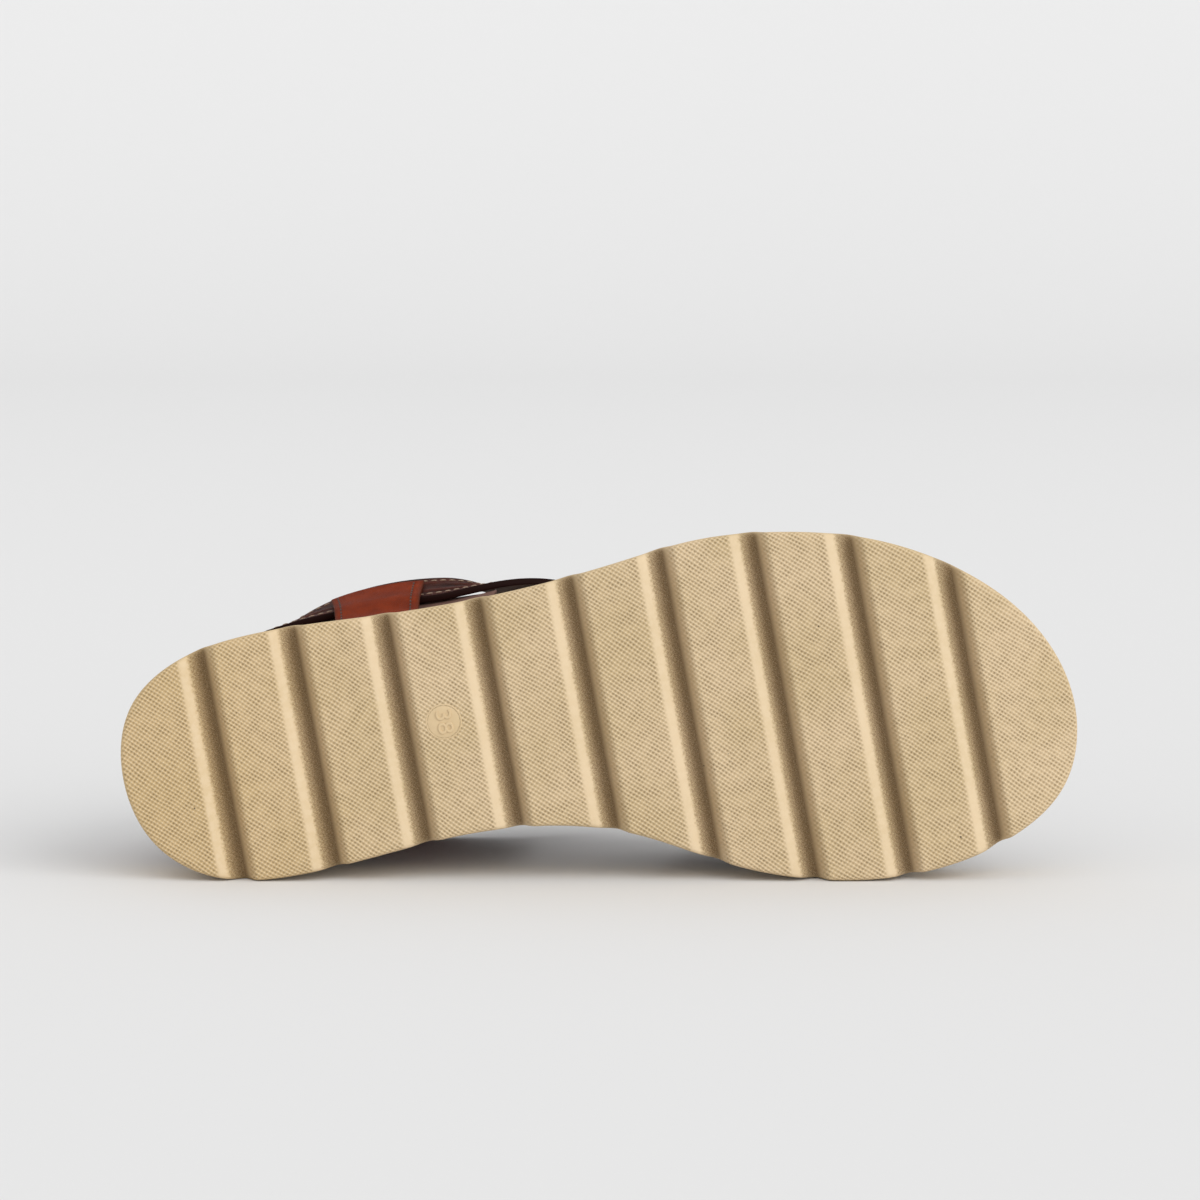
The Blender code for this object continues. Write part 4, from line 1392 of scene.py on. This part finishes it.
def canvas_print(rubber, x, y, place, mask):
    """Dimples and the knots between them, from 0 to 1."""
    bend = (rubber.noise(place, 0.045, 2.0) - 0.5) * 14.0
    warp = thread_wave(x * WARP[0] + y * WARP[1], bend)
    weft = thread_wave(x * WEFT[0] + y * WEFT[1], bend * 0.6)
    uneven = rubber.noise(place, 0.30, 3.0).step(0.25, 0.75) * 0.6 + 0.55
    dimple = warp ** 1.3 * (weft ** 1.2 * 0.78 + 0.22) * uneven * mask
    return dimple, (1 - warp) ** 2.0 * (1 - weft) ** 2.0 * mask


def specks(rubber, place):
    """A few round dark specks, one in some of the cells of a coarse pattern."""
    cells = rubber.node("ShaderNodeTexVoronoi", {"feature": "F1"}, "Distance", Vector=place, Scale=0.11)
    lot = Value(rubber.tree, cells.socket.node.outputs["Color"])
    picked = rubber.node("ShaderNodeSeparateColor", None, "Red", Color=lot).step(0.52, 0.56)
    return (1 - cells.step(0.020, 0.040)) * picked


def bare_rubber(name):
    """Rubber without print: its finish, map place, mottle, grain and colour."""
    rubber = Finish(name)
    place = rubber.flat()
    patches = rubber.noise(place[2], 0.035, 3.0)
    mottle = rubber.noise(place[2], 0.45, 4.0, 0.6)
    grain = rubber.noise(place[2], 6.0, 3.0, 0.65)
    colour = rubber.mix(patches.step(0.35, 0.65), TAN["plain"], TAN["pale"])
    return rubber, place, mottle, grain, rubber.mix(mottle.step(0.3, 0.75) * 0.22, colour, TAN["mottled"])


def rubber_surface(rubber, colour, height):
    return rubber.surface(Base_Color=colour, Roughness=0.78, Specular_IOR_Level=0.30,
                          Normal=rubber.bump(height))


def tread_finish():
    rubber, (x, y, place), mottle, grain, colour = bare_rubber("printed_rubber")
    tread = rubber.mark("tread")
    shoulder, wall, ramp, floor = groove_zones(rubber, x, place)
    mask = (1 - shoulder) * (1 - wall * 0.9) * (1 - ramp * 0.55) * tread
    dimple, knot = canvas_print(rubber, x, y, place, mask)
    fuzz = rubber.noise(rubber.stretch(place, (1.0, 2.4, 1.0), 0.35), 2.6, 4.0, 0.75)
    # patchiness of the shoulder's painted highlight, from the mottle and grain
    shoulder_highlight_patches = mottle.step(0.35, 0.65) * 0.25 + grain.step(0.35, 0.65) * 0.20 + 0.32
    colour = rubber.coats(colour, [
        # painted shade: the heel end of the tread is darker, where less light falls
        ((1 - x.step(15.0, 85.0)) * 0.6, TAN["heel"]),
        # painted shade in the dimples and a painted highlight on the knots between them
        (dimple * 0.66, TAN["dimple"]),
        (knot * 0.50, TAN["knot"]),
        # painted highlight on each groove's shoulder
        (shoulder * tread * shoulder_highlight_patches, TAN["shoulder"]),
        # painted shade: the toe-side wall, the ramp (speckled) and the groove's floor are darkened
        (wall * tread * 0.45, TAN["wall"]),
        (fuzz.step(0.42, 0.60) * ramp * tread * 0.80, TAN["painted_ramp_shade"]),
        (floor * tread * 0.72, TAN["floor"]),
        ((1 - fuzz.step(0.36, 0.50)) * ramp * tread * 0.30, TAN["pale_ramp_fleck"]),
        (specks(rubber, place) * tread * 0.85, TAN["speck"]),
        ((1 - tread) * mottle.step(0.45, 0.8) * 0.35, TAN["dirt"]),
    ])
    relief = grain * 0.02 + knot * 0.16 - dimple * 0.24 + fuzz * (ramp * 0.22 + shoulder * 0.05)
    return rubber_surface(rubber, colour, relief)


def mark_finish():
    rubber, _, _, grain, colour = bare_rubber("smooth_rubber")
    radius = rubber.mark("radius")
    # painted shade in the thin groove round the insert
    line = radius.step(0.925, 0.945) * (1 - radius.step(0.965, 0.985))
    return rubber_surface(rubber, rubber.mix(line * 0.75, colour, TAN["painted joint shade"]), grain * 0.02)


tread_rubber = tread_finish()
mark_rubber = mark_finish()
sole.data.materials.append(tread_rubber)
size_mark.data.materials.append(mark_rubber)
size_digits.data.materials.append(mark_rubber)
print("tread finish nodes:", len(tread_rubber.node_tree.nodes))

# %% [markdown]
# Leather needs three scales. Pores and fine cracks are a cell texture in the bump. Along the creases
# each ridge is lighter, partly pull-up where wax moves and partly a painted highlight, and each
# trough is darkened with painted shade. Broad mottle comes from the hide. The cut edge is painted
# dark, and the flesh side shows as a brushed lining.

# %% Finishes of the leathers
def leather_finish(name, base, light, lining, paint, roughness, gloss, wrinkle):
    """Leather from its two colours, its lining's, its edge paint's and how rough and lined it is."""
    leather = Finish(name)
    _, _, place = leather.flat()
    face, edge, fold = (leather.mark(mark) for mark in ("face", "edge", "fold"))
    outside = face.step(0.6, 0.9)
    inside = 1 - face.step(0.1, 0.4)
    cells = leather.node("ShaderNodeTexVoronoi", {"feature": "DISTANCE_TO_EDGE"}, "Distance", Vector=place,
                         Scale=1.9)
    pores = 1 - cells.step(0.0, 0.22)
    hide = leather.noise(place, 0.12, 4.0, 0.6)
    lines = leather.noise(leather.stretch(place, (0.10, 0.85, 1.0)), 1.0, 5.0, 0.65)
    cracks = (1 - ((lines - 0.5).size() * 9.0).least(1.0)) ** 2.0 * wrinkle * outside
    fine = leather.noise(place, 9.0, 3.0, 0.7)
    ridge = fold.step(0.02, 0.20)
    trough_shade = 1 - fold.step(-0.30, -0.02)
    burnish = 1 - edge.step(0.2, 1.5)
    colour = leather.coats(leather.mix(hide.step(0.30, 0.72), base, light), [
        (cracks * 0.7, tinted(base, 0.28)),
        # pull-up where the wax moves, and a painted highlight, on each crease's ridge
        (ridge * outside * 0.5, tinted(light, 1.9)),
        # painted shade in each crease's trough
        (trough_shade * outside * 0.65, tinted(base, 0.30)),
        (burnish * outside * 0.55, paint),
        ((1 - outside) * (1 - inside), paint),
        (inside, leather.mix(fine.step(0.3, 0.7), lining, tinted(lining, 1.35))),
    ])
    relief = fine * 0.020 + inside * fine * 0.05 - pores * outside * 0.030 - cracks * 0.16
    rough = roughness + (hide - 0.5) * 0.14 + inside * (0.9 - roughness) - ridge * 0.06
    return leather.surface(Base_Color=colour, Roughness=rough, Specular_IOR_Level=gloss,
                           Normal=leather.bump(relief))


FLESH_BROWN = (0.105, 0.070, 0.055)
FLESH_TAN = (0.180, 0.120, 0.080)

dark_brown = leather_finish("dark_brown_leather", (0.030, 0.0060, 0.0035), (0.085, 0.018, 0.0095),
                            FLESH_BROWN, (0.014, 0.004, 0.003), roughness=0.55, gloss=0.05, wrinkle=0.5)
cognac = leather_finish("cognac_leather", (0.150, 0.017, 0.0020), (0.225, 0.028, 0.0035),
                        FLESH_TAN, (0.080, 0.014, 0.003), roughness=0.62, gloss=0.04, wrinkle=0.18)
# The counter is grey-brown leather. Its colour is also lightened as painted light, to make up for the
# strap's shadow on it.
quarter_brown_painted_light = leather_finish("quarter_leather_painted_light", (0.150, 0.080, 0.064), (0.200, 0.112, 0.090),
                               FLESH_BROWN, (0.016, 0.010, 0.008), roughness=0.85, gloss=0.04, wrinkle=0.30)
for piece in (strap, rear_strap, front_strap, keeper):
    piece.data.materials.append(dark_brown)
counter.data.materials.append(quarter_brown_painted_light)
for name in ("side_tab_inner_leather", "side_tab_outer_leather"):
    bpy.data.objects[name].data.materials.append(cognac)
print("leather finishes: dark brown, cognac, quarter brown")

# %% [markdown]
# The footbed's cover is brushed leather: no gloss, a short nap that lies in patches, and a darker rim
# where it is drawn over the edge. Thread is waxed, and brass has aged to a brown in its recesses.

# %% Finishes of footbed, thread and brass
def footbed_finish():
    suede = Finish("footbed_suede")
    _, _, place = suede.flat()
    rim = suede.mark("rim")
    nap = suede.noise(suede.stretch(place, (0.5, 1.0, 1.0), 0.5), 0.5, 5.0, 0.7)
    fine = suede.noise(place, 7.0, 4.0, 0.75)
    patches = suede.noise(place, 0.05, 3.0)
    line = 1 - (rim - 3.2).size().step(0.15, 0.55)
    colour = suede.coats(suede.mix(nap.step(0.3, 0.7), (0.150, 0.098, 0.072), (0.205, 0.140, 0.105)), [
        (patches.step(0.4, 0.7) * 0.35, (0.110, 0.070, 0.052)),
        ((1 - rim.step(0.4, 1.8)) * 0.5, (0.075, 0.045, 0.033)),
        (line * 0.6, (0.070, 0.042, 0.030)),
    ])
    relief = fine * 0.07 + nap * 0.06 - line * 0.30
    return suede.surface(Base_Color=colour, Roughness=0.92, Specular_IOR_Level=0.2, Sheen_Weight=0.25,
                         Sheen_Roughness=0.5, Normal=suede.bump(relief))


def thread_finish(name, colour):
    thread = Finish(name)
    place = thread.node("ShaderNodeTexCoord", None, "Object")
    fibres = thread.noise(place, 2500.0, 2.0)
    mixed = thread.mix(fibres.step(0.3, 0.7), colour, tinted(colour, 0.6))
    return thread.surface(Base_Color=mixed, Roughness=0.6, Normal=thread.bump(fibres, 0.0001))


def brass_finish():
    brass = Finish("aged_brass")
    place = brass.node("ShaderNodeTexCoord", None, "Object")
    tarnish = brass.noise(place, 260.0, 4.0, 0.6)
    colour = brass.mix(tarnish.step(0.42, 0.68), (0.56, 0.41, 0.20), (0.30, 0.19, 0.085))
    return brass.surface(Base_Color=colour, Metallic=1.0, Roughness=tarnish * 0.3 + 0.20,
                         Normal=brass.bump(tarnish, 0.0002))


footbed.data.materials.append(footbed_finish())
pale_thread = thread_finish("pale_thread", (0.36, 0.25, 0.17))
dark_thread = thread_finish("dark_thread", (0.045, 0.016, 0.008))
for piece in pale_seams:
    piece.data.materials.append(pale_thread)
for piece in dark_seams:
    piece.data.materials.append(dark_thread)
aged_brass = brass_finish()
for piece in (buckle, prong):
    piece.data.materials.append(aged_brass)
print("materials:", len(bpy.data.materials))

# %% [markdown]
# The picture was taken in an even, pale studio. The floor runs up into the backdrop without a corner,
# so there is no horizon. A swept curve does that. It is staged, which keeps it out of the object.

# %% Floor and backdrop
FLOOR_FRONT = -2.2
FLOOR_BACK = 2.6
SWEEP_RADIUS = 2.4
STAGE_HALF_WIDTH = 3.6
STAGE_TOP = 3.2
SWEEP_STEPS = 24
PAPER_FADE = (0.4, 4.6)
PAPER_NEAR = 0.774
PAPER_FAR = 0.700


def make_stage():
    profile = [(FLOOR_FRONT, 0.0)]
    for i in range(SWEEP_STEPS + 1):
        angle = math.pi / 2 * i / SWEEP_STEPS
        profile.append((FLOOR_BACK + SWEEP_RADIUS * math.sin(angle), SWEEP_RADIUS * (1 - math.cos(angle))))
    profile.append((FLOOR_BACK + SWEEP_RADIUS, STAGE_TOP))
    corners = [(side * STAGE_HALF_WIDTH, y, z) for y, z in profile for side in (-1, 1)]
    faces = [(2 * i, 2 * i + 1, 2 * i + 3, 2 * i + 2) for i in range(len(profile) - 1)]
    mesh = bpy.data.meshes.new("backdrop")
    mesh.from_pydata(corners, [], faces)
    stage = show("backdrop", mesh)
    paper = Finish("pale_paper")
    place = paper.node("ShaderNodeTexCoord", None, "Object")
    depth = paper.node("ShaderNodeSeparateXYZ", None, "Y", Vector=place)
    grey = paper.mix(depth.step(*PAPER_FADE), (PAPER_NEAR,) * 3, (PAPER_FAR,) * 3)
    mesh.materials.append(paper.surface(Base_Color=grey, Roughness=0.95, Specular_IOR_Level=0.0))
    return stage


backdrop = make_stage()
print("backdrop faces:", len(backdrop.data.polygons))

# %% [markdown]
# The light is soft from all round. One large lamp from the right draws the grooves: it brightens each
# shoulder and leaves the ramp behind it in shade. A weaker one from the front and a world of even
# grey fill the rest.

# %% Light
WORLD_STRENGTH = 0.80
LAMPS = {
    # name: where it shines from, strength, softness in degrees
    "key": ((0.80, -0.70, 0.50), 1.25, 50),
    "fill": ((0.10, -1.00, 0.35), 0.55, 70),
}

for name, (shines_from, strength, softness) in LAMPS.items():
    sun = bpy.data.lights.new(name, "SUN")
    sun.energy = strength
    sun.angle = math.radians(softness)
    lamp = bpy.data.objects.new(name, sun)
    lamp.rotation_euler = Vector(shines_from).to_track_quat("Z", "Y").to_euler()
    bpy.context.scene.collection.objects.link(lamp)

world = bpy.data.worlds.new("studio")
world.use_nodes = True
world.node_tree.nodes["Background"].inputs["Color"].default_value = (1.0, 1.0, 1.0, 1.0)
world.node_tree.nodes["Background"].inputs["Strength"].default_value = WORLD_STRENGTH
bpy.context.scene.world = world
bpy.context.scene.view_settings.view_transform = "Standard"
print("lamps:", [light.name for light in bpy.data.lights])

# %% [markdown]
# The camera stands 1.3 m in front of the tread and a little above the floor, with a long lens, as for
# a catalogue picture. Its height is set by what shows: the strap appears over the sole's edge, and
# the floor line below the waist.

# %% Camera
CAMERA_DISTANCE = 1.3
CAMERA_ELEVATION = math.radians(5.5)
VIEW_WIDTH = 0.3192
VIEW_CENTRE = (0.0, -0.0495, 0.0756)
SENSOR_WIDTH = 36.0

camera = bpy.data.cameras.new("catalogue")
camera.sensor_width = SENSOR_WIDTH
camera.lens = SENSOR_WIDTH * CAMERA_DISTANCE / VIEW_WIDTH
viewer = bpy.data.objects.new("catalogue", camera)
back = Vector((0.0, -math.cos(CAMERA_ELEVATION), math.sin(CAMERA_ELEVATION)))
viewer.location = Vector(VIEW_CENTRE) + CAMERA_DISTANCE * back
viewer.rotation_euler = (-back).to_track_quat("-Z", "Y").to_euler()
bpy.context.scene.collection.objects.link(viewer)
bpy.context.scene.camera = viewer
print("lens in millimetres:", round(camera.lens, 1))
